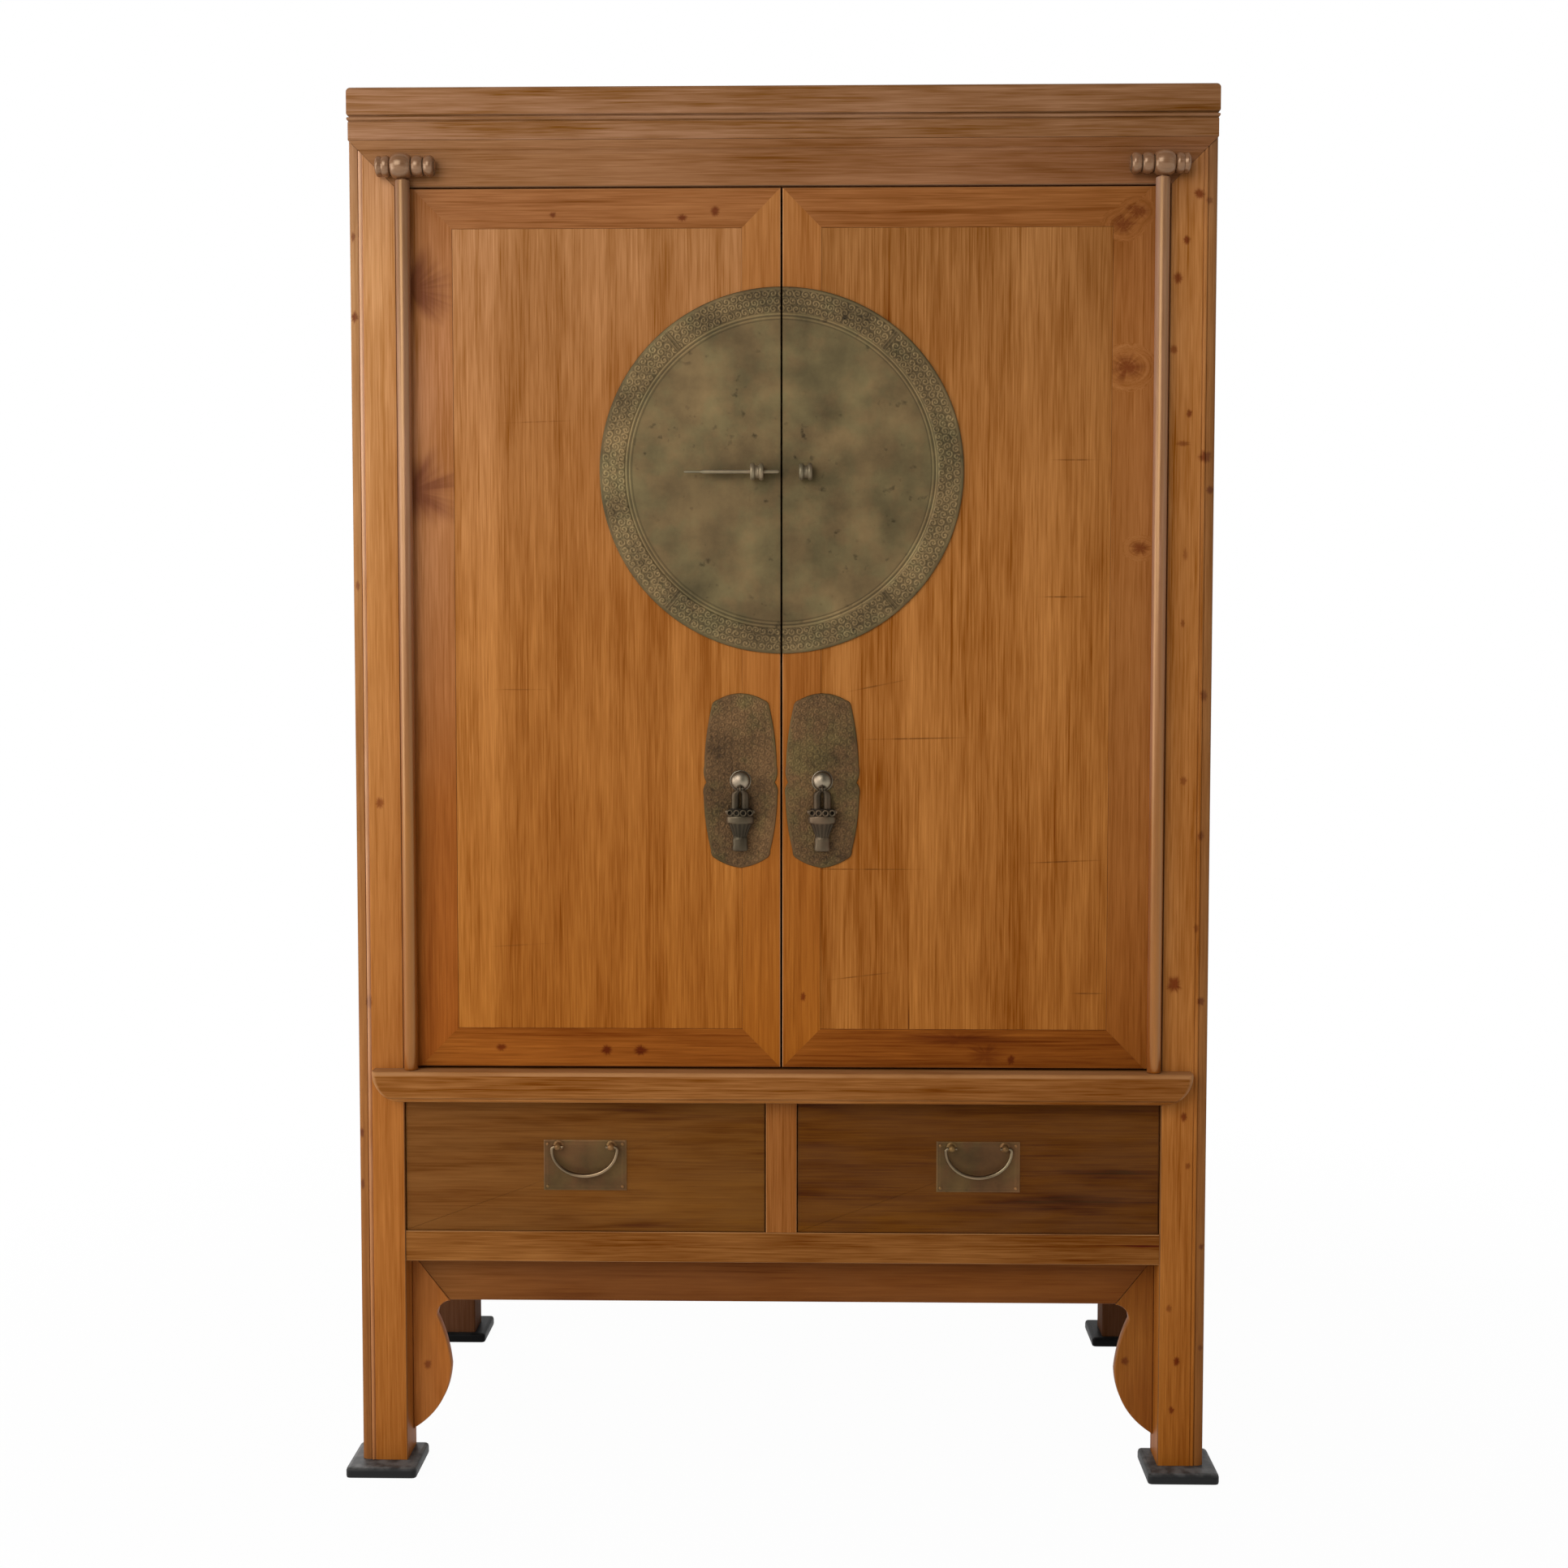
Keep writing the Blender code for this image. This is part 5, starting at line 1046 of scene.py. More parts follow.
# %% Doors
for (side, sign), stile_wood in zip(SIDES, (STILE_LEFT, STILE_RIGHT)):
    door = f"door_{side}"
    section, wear = bar_section(STILE_W, COVER_W)
    hinge = carried(section, lambda a, b, run: (sign * (LEAF_OUT - a), LEAF_FACE + b, run),
                    *stile_cut(STILE_W, COVER_W), wear)
    make_piece(f"hinge_stile_{side}", [hinge], stile_wood, door,
               [f"{door}_hinge_stile"])
    rib = carried(web, lambda a, b, run: (sign * POLE_X + a, b, run),
                  LEAF_FOOT + WEB_SHORT, LEAF_HEAD - WEB_SHORT)
    make_piece(f"pole_{side}", [pole_shell(sign), rib], POLE_WOOD, door)
    section, wear = bar_section(MEETING_W)
    meeting = carried(section, lambda a, b, run: (sign * (LEAF_IN + a), LEAF_FACE + b, run),
                      *stile_cut(MEETING_W, 0.0), wear)
    make_piece(f"meeting_stile_{side}", [meeting], MEETING_WOOD, door,
               [f"{door}_meeting_stile"])
    section, wear = bar_section(RAIL_W)
    outer_end = LEAF_OUT - COVER_W
    for level, edge, up, finish in (("top", LEAF_HEAD, -1, TOP_RAILS),
                                    ("bottom", LEAF_FOOT, 1, FOOT_RAILS)):
        bar = carried(section, lambda a, b, run: (sign * run, LEAF_FACE + b, edge + up * a),
                      lambda a: LEAF_IN + a * MEETING_W / RAIL_W + MITRE_GAP,
                      lambda a: outer_end - a * (STILE_W - COVER_W) / RAIL_W - MITRE_GAP, wear)
        make_piece(f"door_rail_{level}_{side}", [bar], finish, door,
                   [f"{door}_{level}_rail"])

# %% [markdown]
# ## Turned brackets
# The head of each pole turns in a bracket that is turned like a string of beads with a ball, and
# planed flat at the back where it is pegged to the frieze. The profile is turned on its own line,
# and every point that would pass the flat is held on it.

# %% Brackets
BRACKET_Z, BALL_R, LOBE_R, NECK_R, TIP_R = 1.6845, 0.017, 0.0135, 0.0092, 0.001
# The bracket's tone is darker towards its underside, a painted shade.
BRACKET_WOOD = lacquered(timber(
    "bracket_amber", [(1.66, (0.125, 0.055, 0.0225)), (1.70, (0.225, 0.106, 0.0496))],
    "x", 26.3, 0.7, rough=0.25, gloss=0.50), (1.0, 0.72, 0.48))


def swelling(start, end, low_r, high_r, crown, steps=18):
    """Half an ellipse in length, standing on the straight line from one neck to the next."""
    t = (1 - np.cos(np.linspace(0, np.pi, steps))) / 2
    neck = low_r + (high_r - low_r) * t
    return gather(neck + (crown - neck) * np.sqrt(1 - (2 * t - 1) ** 2), start + (end - start) * t)


necks = (0.0345, 0.0255, 0.0150, -0.0120, -0.0272, -0.0424)
neck_radii = (TIP_R, 0.0115, NECK_R, NECK_R, NECK_R, TIP_R)
crowns = (0.0132, LOBE_R, BALL_R, LOBE_R, LOBE_R)
lobes = [swelling(*sizes)[1:]
         for sizes in zip(necks, necks[1:], neck_radii, neck_radii[1:], crowns)]
beads = np.concatenate(([(TIP_R, necks[0])], *lobes))
# The narrow necks between the beads are painted dark as shade.
neck_shade = np.where(np.abs(beads[:, :1] - NECK_R) < 0.0016, -0.9, 0.0)
for side, sign in SIDES:
    shell = turned(beads, lambda a, b, run: (sign * (POLE_X + run),
                                             np.minimum(POLE_Y + a, FRONT - HAIR),
                                             BRACKET_Z + b), 56, neck_shade)
    make_piece(f"bracket_{side}", [shell], BRACKET_WOOD, "case",
               [f"hinge_bracket_{side}"], 50)

# %% [markdown]
# ## Drawer fronts
# The two drawer fronts are single boards, darker and more streaked than the rest, with their edges
# eased all round.

# %% Drawer boards
DRAWER_FACE, DRAWER_T = -0.278, 0.020
DRAWER_NEAR, DRAWER_FAR, DRAWER_FOOT, DRAWER_HEAD = 0.0212, 0.4893, 0.3193, 0.4927
board_in = (0.0014, 0.0005, 0.0, 0.0)
board_at = DRAWER_FACE + np.array((0.0, 0.0004, 0.0014, DRAWER_T))
board_rub = np.array((0.5, 1.0, 0.5, 0.0))[:, None]
for (side, sign), finish in zip(SIDES, (DRAWER_LEFT, DRAWER_RIGHT)):
    low_x, high_x = sorted((sign * DRAWER_NEAR, sign * DRAWER_FAR))
    outline = softened(oblong(low_x, high_x, DRAWER_FOOT, DRAWER_HEAD), 0.0012, 4)[0]
    shell = banked(outline, board_in, board_at, facing_front, board_rub)
    make_piece(f"drawer_board_{side}", [shell], finish, f"drawer_{side}",
               [f"drawer_{side}_front"])

# %% [markdown]
# ## Aged brass
# The fittings are sheet brass that has gone olive-brown, with darker spots, paler rubbed places,
# and dirt in the ground of the chased pattern. Bare brass is all reflection, but an old patina is a
# skin of dull oxide, so the plates are half metal and half paint, and only what hands rub is metal
# throughout.

# %% Brass recipe
def aged_brass(name, olive, russet, seed, metal=0.5, rough=0.50, spots=0.2, hammer=0.06):
    """Mottled brass. Two noises together go from olive to russet and a third shades it. Where the
    wear mark is set the sheet is punched all over, and a quick noise speckles it. The chase mark
    darkens the ground of the pattern and brightens its crests, and on some fittings it also
    carries painted highlights and painted shade."""
    made, tree, shader, spot = new_finish(name)

    def noise(scale, shift, detail):
        """A noise of this sheet's own."""
        return noise_at(tree, shifted(tree, spot, (seed + shift, seed * 2.0, shift - seed)),
                        scale, detail)

    slow, middling, quick = noise(9.0, 0.0, 3.0), noise(46.0, 4.0, 4.0), noise(300.0, 8.0, 3.0)
    punched = mark_at(tree, "wear")
    hue = reckon(tree, "MULTIPLY_ADD", middling, 0.5, reckon(tree, "MULTIPLY", slow, 0.5))
    hue = reckon(tree, "MULTIPLY_ADD", punched, 0.05, hue)
    coloured = blend_colour(tree, between(tree, hue, 0.41, 0.59), opaque(olive), opaque(russet))
    shade = reckon(tree, "MULTIPLY_ADD", noise(19.0, 20.0, 8.0), 1.8, 0.10)
    speck = reckon(tree, "MULTIPLY", reckon(tree, "SUBTRACT", quick, 0.5),
                   reckon(tree, "MULTIPLY_ADD", punched, 1.3, 0.15))
    shade = reckon(tree, "ADD", shade, speck)
    marks = reckon(tree, "MULTIPLY", between(tree, noise(75.0, 12.0, 3.0), 0.60, 0.74, 0.0, spots),
                   between(tree, noise(16.0, 30.0, 2.0), 0.44, 0.60))
    shade = reckon(tree, "SUBTRACT", shade, marks)
    # The chase mark scales the colour: the worked pattern, and the painted highlights and shade of
    # some fittings.
    worked = reckon(tree, "ADD", mark_at(tree, "chase"), 1.0)
    coloured = scaled(tree, coloured, reckon(tree, "MULTIPLY", shade, worked))
    relief = reckon(tree, "MULTIPLY_ADD", quick, 0.25, middling)
    shader.inputs["Metallic"].default_value = metal
    dress(tree, shader, coloured, rough, (middling, 0.2), 0.25, relief, (hammer, 0.004))
    return made


MOON_BRASS = aged_brass(
    "moon_brass_olive", (0.152, 0.113, 0.048), (0.172, 0.113, 0.048), 1.7, spots=0.6)
PULL_BRASS = aged_brass(
    "pull_brass_brown", (0.112, 0.074, 0.026), (0.124, 0.066, 0.026), 4.1)
HANDLE_BRASS = aged_brass(
    "handle_brass_brown", (0.110, 0.062, 0.020), (0.124, 0.058, 0.020), 6.3)
PENDANT_BRASS = aged_brass(
    "pendant_brass_grey", (0.102, 0.078, 0.047), (0.115, 0.076, 0.045), 10.6, 0.7, 0.42)
LUG_BRASS = aged_brass(
    "lug_brass_rubbed", (0.21, 0.175, 0.105), (0.24, 0.18, 0.11), 8.9, 0.6, 0.48, 0.3, 0.04)
BOSS_BRASS = aged_brass(
    "boss_brass_bright", (0.27, 0.225, 0.155), (0.30, 0.23, 0.165), 7.7, 1.0, 0.40, 0.1, 0.02)
BAIL_BRASS = aged_brass(
    "bail_brass_dark", (0.20, 0.155, 0.09), (0.24, 0.165, 0.095), 9.4, 1.0, 0.30, 0.2, 0.03)

# %% [markdown]
# ## Chased scrolls
# The rim of the moon plate and the pull plates are covered with little scrolls, set so close that
# from a step away they are only a grain. A smith drives them in one by one with a few punches. Here
# the height of the pattern is a formula of two lengths, along the band and across it, with one
# small spiral to each cell, and no two neighbours start at the same angle.

# %% Scroll pattern
def scrolls(along, across, cell):
    """Height from 0 to 1. Cells stand in rows, every second row shifted by half a cell. A spiral's
    ridge is where radius / pitch - angle / turn, less the cell's own start, is near a whole
    number."""
    row = np.floor(across / cell)
    place = along / cell + 0.5 * (row % 2)
    count = np.floor(place)
    start = np.mod(np.sin(count * 12.9898 + row * 78.233) * 43758.5453, 1.0)
    hand = np.where(start > 0.5, 1.0, -1.0)
    u, v = (place - count - 0.5) * cell, (across - (row + 0.5) * cell) * hand
    radius, angle = np.hypot(u, v), np.arctan2(v, u)
    turn = radius / (0.38 * cell) - angle / (2 * np.pi) - 4 * start
    ridge = np.clip(1.3 - 3.2 * np.abs(turn - np.round(turn)), 0, 1)
    return ridge * np.clip((0.60 * cell - radius) / (0.12 * cell), 0, 1)


def line_at(length, place, half_width):
    """Height of a drawn line: a raised cosine, 1 on the line and 0 from half_width off it."""
    return 0.5 + 0.5 * np.cos(np.pi * np.clip((length - place) / half_width, -1, 1))


def ramp_up(length, width):
    """0 below zero, 1 beyond the width, and straight between."""
    return np.clip(length / width, 0, 1)


# %% [markdown]
# ## Moon plate
# A round plate covers the meeting stiles and is cut in two where the doors meet. Its rim is raised
# and chased, a double line runs inside the rim, and the field is plain, a little uneven from the
# hammer. Each half is a fan of points from the middle of the cut to the rim, closer together on the
# rim.

# %% Moon halves
MOON_Z, MOON_R, RING_W = 1.303, 0.232, 0.040
SHEET_Y, SHEET_FACE = -0.2803, -0.2816
BAND_IN, BAND_OUT = MOON_R - RING_W + 0.0075, MOON_R - 0.0035
BAR_ANGLE = 0.87


def moon_half(sign):
    """Points x = cut + share x (R cos angle - cut), z = share x R sin angle, for shares from 0 to
    1. Also gives the chase and, as wear, the share of the sheet that is punched. The rim gets a
    painted highlight towards the left, by the square of -x / R, and a painted shade towards the
    top."""
    share = np.concatenate((np.linspace(0.0006, 0.795, 10), np.linspace(0.80, 1.0, 68)))[:, None]
    edge = np.arccos(LEAF_IN / MOON_R)
    angle = np.linspace(-edge, edge, 1000)
    x = LEAF_IN + share * (MOON_R * np.cos(angle) - LEAF_IN)
    z = share * MOON_R * np.sin(angle)
    radius, turn = np.hypot(x, z), np.arctan2(z, x)
    in_band = ramp_up(radius - BAND_IN, 0.001) * ramp_up(BAND_OUT - radius, 0.001)
    from_bar = np.abs(np.abs(turn) - BAR_ANGLE) * radius
    bars = line_at(from_bar, 0.0022, 0.0011) * in_band
    clear = from_bar > 0.0042
    pattern = scrolls((turn + np.pi / 2) * (BAND_IN + BAND_OUT) / 2, radius - BAND_IN,
                      (BAND_OUT - BAND_IN) / 3)
    lines = np.maximum(line_at(radius, BAND_IN - 0.0016, 0.0012),
                       0.6 * line_at(radius, BAND_IN - 0.0062, 0.0012))
    grooves = np.maximum(line_at(radius, BAND_IN - 0.0040, 0.0013),
                         0.8 * line_at(radius, BAND_IN - 0.0085, 0.0013))
    worked = np.maximum(np.maximum(pattern * in_band * clear, bars), lines)
    rounded = 0.0008 * np.clip(1 - (MOON_R - radius) / 0.001, 0, 1)
    face = SHEET_FACE - 0.0007 * ramp_up(radius - BAND_IN, 0.0012) - 0.00042 * worked + rounded
    # Painted highlight on the rim towards the left, painted shade towards the top.
    painted_rim_light = 0.30 * ramp_up(-sign * x, MOON_R) ** 2 - 0.16 * ramp_up(z, MOON_R) ** 4
    chase = in_band * (0.66 * pattern * clear - 0.40 + painted_rim_light)
    chase = chase + 0.55 * lines + 0.22 * bars - 0.50 * grooves
    chase -= 0.25 * ramp_up(radius - BAND_OUT, 0.002)
    return gather(sign * x, face, MOON_Z + z), chase, in_band


for side, sign in SIDES:
    face, chase, punched = moon_half(sign)
    make_piece(f"moon_half_{side}", [sheet_shell(face, SHEET_Y, chase, punched)], MOON_BRASS,
               f"door_{side}", [f"door_{side}_moon_plate"], 60)

# %% [markdown]
# ## Lugs and lock pin
# Two small barrels stand beside the cut, each with a ring at both ends, and a pin slides through
# them to hold the doors shut. They are turned along the pin, and each barrel stands on a short
# round foot.

# %% Lugs
LUG_X, LUG_Y, LUG_Z, LUG_R, LUG_HALF = 0.031, -0.2931, 1.301, 0.0108, 0.0085
LUG_BORE, LUG_RING, LUG_CROWN = 0.0029, 0.006, 0.0022


def ring_profile():
    """Barrel with a bore: the wall inside, a rounded ring at each end, a hollow between them."""
    t = np.linspace(0, np.pi, 12)
    crest = gather(LUG_R - LUG_CROWN + LUG_CROWN * np.sin(t),
                   -LUG_HALF + LUG_RING / 2 - LUG_RING / 2 * np.cos(t))
    waist = ((LUG_R - 0.003, -0.0018), (LUG_R - 0.0032, 0.0), (LUG_R - 0.003, 0.0018))
    bore = ((LUG_BORE, LUG_HALF), (LUG_BORE, -LUG_HALF))
    return np.concatenate((crest, waist, crest[::-1] * (1, -1), bore))


def lug_shell(sign):
    """The profile is a closed loop, so the last ring of points is joined to the first."""
    radius, run = ring_profile().T[:, :, None]
    angle = circle(40)
    return loop_shell(gather(sign * LUG_X + run, LUG_Y + radius * np.cos(angle),
                             LUG_Z + radius * np.sin(angle)))


foot_profile = ((0.0072, SHEET_FACE - HAIR), (0.0066, SHEET_FACE - 0.0012),
                (0.0055, SHEET_FACE - 0.002), (0.0052, LUG_Y + LUG_R - 0.0035),
                (0.0045, LUG_Y + 0.0055))
for side, sign in SIDES:
    foot = turned(foot_profile, lambda a, b, run: (sign * LUG_X + a, run, LUG_Z + b), 28)
    make_piece(f"lug_{side}", [lug_shell(sign), foot], LUG_BRASS, f"door_{side}",
               [f"door_{side}_lock_lug"], 50)

# %% Lock pin
PIN_TIP, PIN_LONG = -0.0025, 0.121
tail = PIN_TIP - PIN_LONG
pin_profile = ((0.0003, tail), (0.0011, tail + 0.0002), (0.0015, tail + 0.0012),
               (0.0015, tail + 0.021), (0.0019, tail + 0.0226), (0.0024, tail + 0.0245),
               (0.0024, PIN_TIP - 0.003), (0.0021, PIN_TIP - 0.0012), (0.0012, PIN_TIP - 0.0002),
               (0.0003, PIN_TIP))
pin = turned(pin_profile, lambda a, b, run: (run, LUG_Y + a, LUG_Z + b), 24)
make_piece("sliding_pin", [pin], LUG_BRASS, "lock_pin", ["lock_pin"], 40)

# %% [markdown]
# ## Pull plates, bosses and pendants
# Below the moon hang two shaped plates, each with a domed boss and a pendant to pull the door by. A
# plate is a grid: its height runs from foot to head, and its width at each height is the outline's.
# Scrolls fill it up to a plain border. The pendant is a flower basket, a common lucky shape: a
# split handle, a row of loops with a curl at each end, a plain rim, and a fluted bowl on a foot.

# %% Pull plates
PULL_X, PULL_Z, PULL_HALF_W, PULL_HALF_H = 0.0525, 0.908, 0.0475, 0.11225
PULL_MARKS = np.array(((0.0, 1.0), (0.62, 0.925), (0.78, 0.845), (0.98, 0.175), (0.925, -0.02),
                       (1.0, -0.17), (0.80, -0.80), (0.68, -0.895), (0.0, -1.0)))
PULL_MARKS = PULL_MARKS * (PULL_HALF_W, PULL_HALF_H)
PULL_BORDER, PULL_CELL = 0.0022, 0.0085


def pull_width(height):
    """Half width of the plate at each height: the outline's marks, joined by bows 2 mm deep."""
    bows = [bowed(a, b, -0.002, 14) for a, b in zip(PULL_MARKS[:-1], PULL_MARKS[1:])]
    edge = np.concatenate((PULL_MARKS[:1], *bows))[::-1]
    rising = np.maximum.accumulate(edge[:, 1] + np.arange(len(edge)) * 1e-9)
    return np.maximum(np.interp(height, rising, edge[:, 0]), 0.0004)


def pull_face(sign):
    """x = share x half width at that height; the way in from the rim is measured square to the
    side. Rows stand closer at the foot and head. Also gives the chase and, as wear, the share of
    the sheet that is punched."""
    closer = np.sin(np.linspace(-np.pi / 2, np.pi / 2, 280))
    z = (closer * 0.25 + np.linspace(-1, 1, 280) * 0.75)[:, None] * PULL_HALF_H
    width = pull_width(z)
    x = np.linspace(-1, 1, 122) * width
    slope = np.gradient(width[:, 0], z[:, 0])[:, None]
    inside = (width - np.abs(x)) / np.sqrt(1 + slope ** 2)
    punched = ramp_up(inside - PULL_BORDER, 0.001)
    pattern = scrolls(z + 0.14, x + 0.07, PULL_CELL) * punched
    rounded = 0.0007 * np.clip(1 - inside / 0.0008, 0, 1)
    face = SHEET_FACE - 0.00038 * pattern + rounded
    chase = punched * (0.40 * pattern - 0.18) - 0.20 * np.clip(1 - inside / 0.0014, 0, 1)
    return gather(sign * PULL_X + x, face, PULL_Z + z), chase, punched


for side, sign in SIDES:
    face, chase, punched = pull_face(sign)
    make_piece(f"pull_plate_{side}", [sheet_shell(face, SHEET_Y, chase, punched)], PULL_BRASS,
               f"door_{side}", [f"door_{side}_pull_plate"], 60)

# %% Bosses
HANGER_Y, HANGER_Z = -0.2928, 0.898
BOSS_R, BOSS_H = 0.0126, 0.0088
CHEEK_R, CHEEK_BACK, CHEEK_T, CHEEK_LOW = 0.003, 0.0109, 0.0022, (-0.0039, 0.0017)
HINGE_R, HINGE_HALF, HINGE_DARK = 0.0015, 0.0028, -0.6

sweep = np.linspace(0, np.pi / 2 - 0.04, 14)
dome = np.concatenate((((0.0132, 0.0003), (0.0136, 0.0007), (0.0130, 0.0011)),
                       gather(BOSS_R * np.cos(sweep), 0.0012 + BOSS_H * np.sin(sweep))))
# The flange round the dome's foot is painted dark as shade.
flange_shade = np.where(dome[:, :1] > BOSS_R - 0.0002, -0.45, 0.0)
sweep = np.radians(np.linspace(90, 270, 12))
cheek = np.concatenate((CHEEK_R * gather(np.cos(sweep), np.sin(sweep)),
                        ((CHEEK_BACK, -CHEEK_R), (CHEEK_BACK, CHEEK_R))))
for side, sign in SIDES:
    middle = sign * PULL_X

    def across(a, b, run):
        """Place of what is carried or turned along the pendant's hinge."""
        return middle + run, HANGER_Y + a, HANGER_Z + b

    cap = turned(dome, lambda a, b, run: (middle + a, SHEET_FACE - run, PULL_Z + b), 44,
                 chase=flange_shade)
    hinge = [carried(cheek, across, low, low + CHEEK_T) for low in CHEEK_LOW]
    hinge += [turned(((HINGE_R, -HINGE_HALF), (HINGE_R, HINGE_HALF)), across, 16)]
    for shell in hinge:
        shell["chase"] = shell["chase"] + HINGE_DARK
    make_piece(f"boss_{side}", [cap, *hinge], BOSS_BRASS, f"door_{side}",
               [f"door_{side}_pull_boss"], 40)

# %% Baskets
FLATTEN = 0.5
BOWL_TOP, BOWL_DEEP, FLUTES = -0.0442, 0.0175, 14


def basket_shell(middle):
    """Profile of (radius, run) turned and flattened. The bowl is fluted by a cosine round it. The
    wall behind the loops and the bowl below the rim are painted dark as shade, darker still in the
    flutes' hollows, and the rim band is paler."""
    wall = ((0.0004, -0.0249), (0.0150, -0.0249), (0.0150, -0.0340))
    rim = ((0.0168, -0.0347), (0.0176, -0.0356), (0.0178, -0.0370), (0.0176, -0.0420),
           (0.0170, -0.0436), (0.0152, BOWL_TOP))
    t = np.linspace(0, 1, 22)[1:]
    bowl = gather(0.0084 + 0.0066 * (1 - t) ** 1.3, BOWL_TOP - BOWL_DEEP * t)
    foot = ((0.0092, -0.0626), (0.0097, -0.0650), (0.0095, -0.0720), (0.0103, -0.0765),
            (0.0096, -0.0790), (0.0050, -0.0801), (0.0004, -0.0802))
    radius, run = np.concatenate((wall, rim, bowl, foot)).T[:, :, None]
    angle = circle(72)
    on_bowl = (run < BOWL_TOP - 0.0001) * (run > BOWL_TOP - BOWL_DEEP - 0.0001)
    flutes = np.cos(FLUTES * angle)
    radius = radius * (1 + 0.045 * on_bowl * flutes)
    # Painted shade behind the loops and on the bowl; the rim band is paler.
    dark = -0.80 * (run > -0.0345) - on_bowl * (0.45 - 0.15 * flutes)
    dark = dark + 0.25 * (run < -0.0347) * (run > -0.0440)
    return tube_shell(gather(middle + radius * np.cos(angle),
                             HANGER_Y + FLATTEN * radius * np.sin(angle), HANGER_Z + run),
                      chase=dark)


def prong_shell(middle, side):
    """One half of the split handle: an ellipse carried down a line that leaves the eye and then
    hangs."""
    top, foot = -0.0012, -0.0256
    run = np.linspace(top, foot, 20)[:, None]
    away = side * (0.0064 - 0.0036 * np.clip(1 + (run - top) / 0.0075, 0, 1) ** 2)
    angle = circle(20)
    narrowed = np.clip(1 + (run - top) / 0.004, 0, 1) ** 2
    wide = 0.0049 * np.sqrt(np.clip(1.15 - narrowed, 0, 1))
    # The side facing the slot between the two halves is painted dark as shade, and each half is a
    # little darker all over.
    return tube_shell(gather(middle + away + wide * np.cos(angle),
                             HANGER_Y + 0.0045 * np.sin(angle), HANGER_Z + run),
                      chase=0.25 * side * np.cos(angle) - 0.30)


# %% Pendants
LOOPS, LOOP_Z, RIM_R = (-0.0128, -0.0043, 0.0043, 0.0128), HANGER_Z - 0.0303, 0.0168
CURLS, CURL_R, CURL_Y, CURL_Z = (-0.0169, 0.0169), 0.0026, HANGER_Y - 0.0016, HANGER_Z - 0.0290


def wire_ring(place, reach, thick):
    """Small ring of round wire. place(a, b, c) gives its points; the ring lies in a and c."""
    turn, around = circle(24)[:, None], circle(10)
    out = reach + thick * np.cos(around)
    rings = place(out * np.cos(turn), thick * np.sin(around), out * np.sin(turn))
    return loop_shell(gather(*rings))


def curl_shell(x):
    """Round end of a curl."""
    sweep = np.linspace(-np.pi / 2 + 0.05, np.pi / 2 - 0.05, 11)
    ball = gather(CURL_R * np.cos(sweep), CURL_R * np.sin(sweep))
    # The ball is made bright through the chase mark: a painted highlight.
    return turned(ball, lambda a, b, run: (x + a, CURL_Y + b, CURL_Z + run), 18, chase=0.9)


for side, sign in SIDES:
    middle = sign * PULL_X
    shells = [basket_shell(middle), prong_shell(middle, -1), prong_shell(middle, 1)]
    shells += [wire_ring(lambda a, b, c: (middle + b, HANGER_Y + a, HANGER_Z + c), 0.0032, 0.0013)]
    for x in LOOPS:
        bow = FLATTEN * np.sqrt(RIM_R ** 2 - x ** 2)
        shells += [wire_ring(lambda a, b, c: (middle + x + a, loop_y + b, LOOP_Z + c),
                             0.0034, 0.0012) for loop_y in (HANGER_Y - bow, HANGER_Y + bow)]
    shells += [curl_shell(middle + x) for x in CURLS]
    make_piece(f"basket_pendant_{side}", shells, PENDANT_BRASS, f"pendant_{side}",
               [f"pendant_{side}"], 50)

# %% [markdown]
# ## Drawer handles
# Each drawer has a flat plate with a nail in every corner, two knobbed eyes, and a bail that hangs
# in them. The bail is a round wire, thicker in the middle, carried along a flat curve.

# %% Handle plates
HANDLE_X, HANDLE_Z, HANDLE_FACE, HANDLE_BACK = 0.25525, 0.40675, -0.2796, -0.2783
EYE_APART, EYE_Z, EYE_Y, KNOB_R, KNOB_OUT = 0.0345, 0.43275, -0.2881, 0.0046, 0.0086
PLATE_HALF_W, PLATE_HALF_H = 0.054, 0.033
NAIL_R, NAIL_H, NAIL_X, NAIL_Z = 0.0022, 0.0014, 0.0488, 0.0278


def nail_shell(x, z):
    """Low domed nail head."""
    sweep = np.linspace(0, np.pi / 2 - 0.05, 7)
    head = gather(NAIL_R * np.cos(sweep), NAIL_H * np.sin(sweep))
    head = np.concatenate((((NAIL_R, -0.0004),), head))
    # The head is made bright through the chase mark: a painted highlight.
    return turned(head, lambda a, b, run: (x + a, HANDLE_FACE - run, z + b), 18, chase=0.9)


def knob_shell(x):
    """Eye: a round foot, a shank and a rounded knob that the bail's end passes through."""
    sweep = np.linspace(-0.6, np.pi / 2 - 0.06, 12)
    head = gather(KNOB_R * np.cos(sweep), KNOB_OUT + KNOB_R * np.sin(sweep))
    foot = ((0.0068, 0.0), (0.0066, 0.0008), (0.0048, 0.0014), (0.0036, 0.003))
    # The knob is made bright through the chase mark: a painted highlight.
    return turned(np.concatenate((foot, head)),
                  lambda a, b, run: (x + a, HANDLE_FACE - run, EYE_Z + b), 28, chase=0.6)


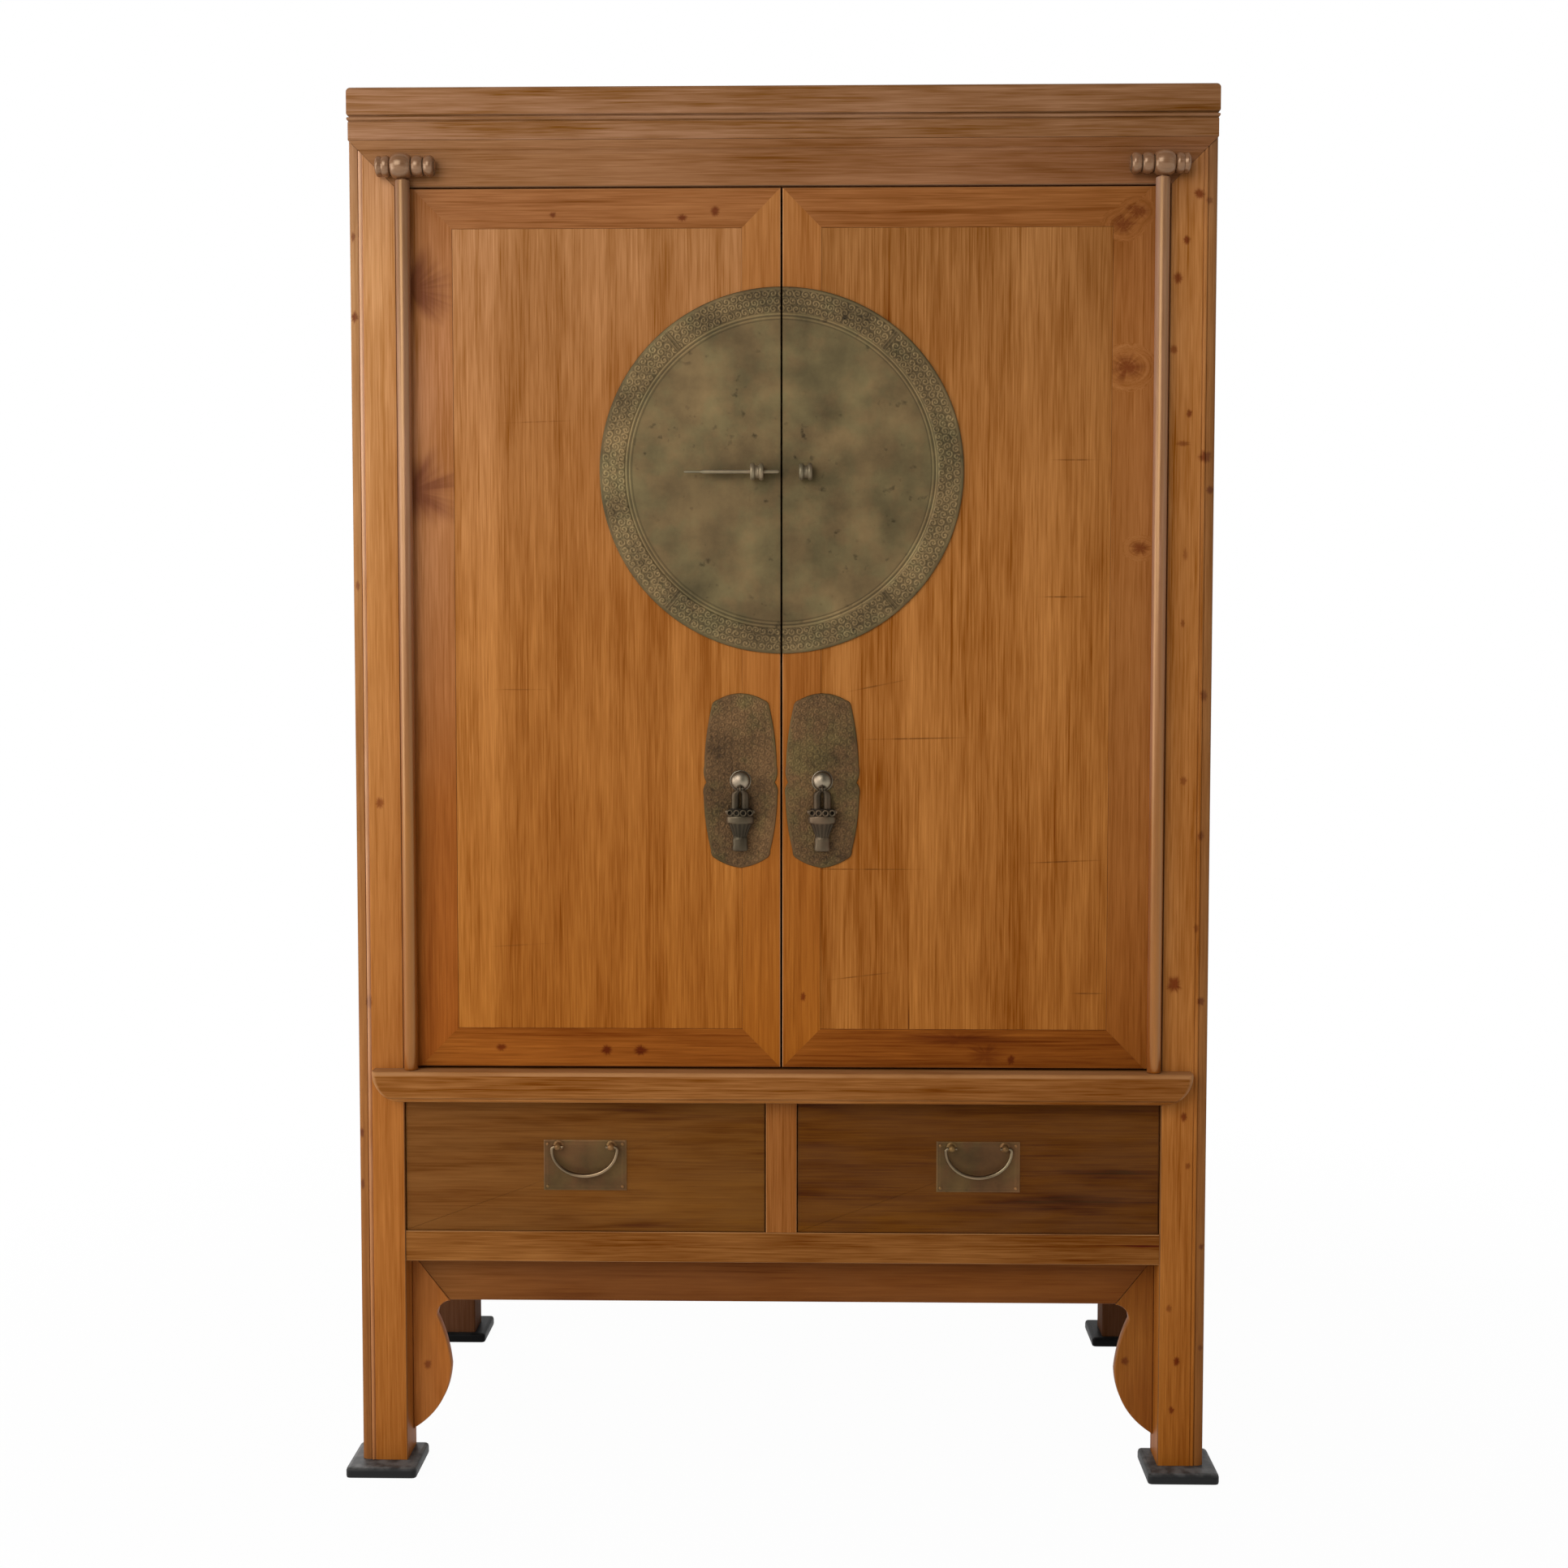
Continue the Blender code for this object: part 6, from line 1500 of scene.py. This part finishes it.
def plate_shell(x):
    """Sheet with its edge turned down: a grid whose border line is chased a little way in, with a
    bright edge."""
    a = np.linspace(-PLATE_HALF_W, PLATE_HALF_W, 92)
    b = np.linspace(-PLATE_HALF_H, PLATE_HALF_H, 58)[:, None]
    inside = np.minimum(PLATE_HALF_W - np.abs(a), PLATE_HALF_H - np.abs(b))
    line = line_at(inside, 0.0052, 0.0011)
    rounded = 0.0007 * np.clip(1 - inside / 0.001, 0, 1)
    face = HANDLE_FACE - 0.00035 * line + rounded
    worked = 0.16 * line - 0.03 + 0.5 * np.clip(1 - inside / 0.0016, 0, 1)
    return sheet_shell(gather(x + a, face, HANDLE_Z + b), HANDLE_BACK, worked)


for side, sign in SIDES:
    middle = sign * HANDLE_X
    shells = [plate_shell(middle)]
    shells += [nail_shell(middle + NAIL_X * h, HANDLE_Z + NAIL_Z * v)
               for h in (-1, 1) for v in (-1, 1)]
    shells += [knob_shell(middle + EYE_APART * h) for h in (-1, 1)]
    make_piece(f"handle_plate_{side}", shells, HANDLE_BRASS, f"drawer_{side}",
               [f"drawer_{side}_handle_plate"], 50)

# %% Bails
BAIL_HALF_W, BAIL_DROP, BAIL_BEND = 0.0425, 0.038, 0.0035


def bail_shell(x):
    """A flat path: straight inside the eye, a small bend down, then a half ellipse to the other
    side. The wire thickens with the square of the way down."""
    corner = np.linspace(np.pi / 2, 0, 9)
    sweep = np.linspace(0, np.pi / 2, 26)[1:]
    half = np.concatenate((
        ((0.0279, 0.0), (0.034, 0.0)),
        gather(BAIL_HALF_W - BAIL_BEND + BAIL_BEND * np.cos(corner),
               -BAIL_BEND + BAIL_BEND * np.sin(corner)),
        gather(BAIL_HALF_W * np.cos(sweep),
               -BAIL_BEND - (BAIL_DROP - BAIL_BEND) * np.sin(sweep))))
    path = np.concatenate((half, half[-2::-1] * (-1, 1)))
    ahead = np.gradient(path, axis=0)
    ahead /= np.linalg.norm(ahead, axis=1, keepdims=True)
    thick = (0.0020 + 0.0007 * np.clip(-path[:, 1] / BAIL_DROP, 0, 1) ** 2)[:, None]
    around = circle(14)
    a = path[:, :1] + thick * ahead[:, 1:] * np.cos(around)
    b = path[:, 1:] - thick * ahead[:, :1] * np.cos(around)
    return tube_shell(gather(x + a, EYE_Y + thick * np.sin(around), EYE_Z + b))


for side, sign in SIDES:
    make_piece(f"bail_wire_{side}", [bail_shell(sign * HANDLE_X)], BAIL_BRASS, f"bail_{side}",
               [f"bail_{side}"], 60)
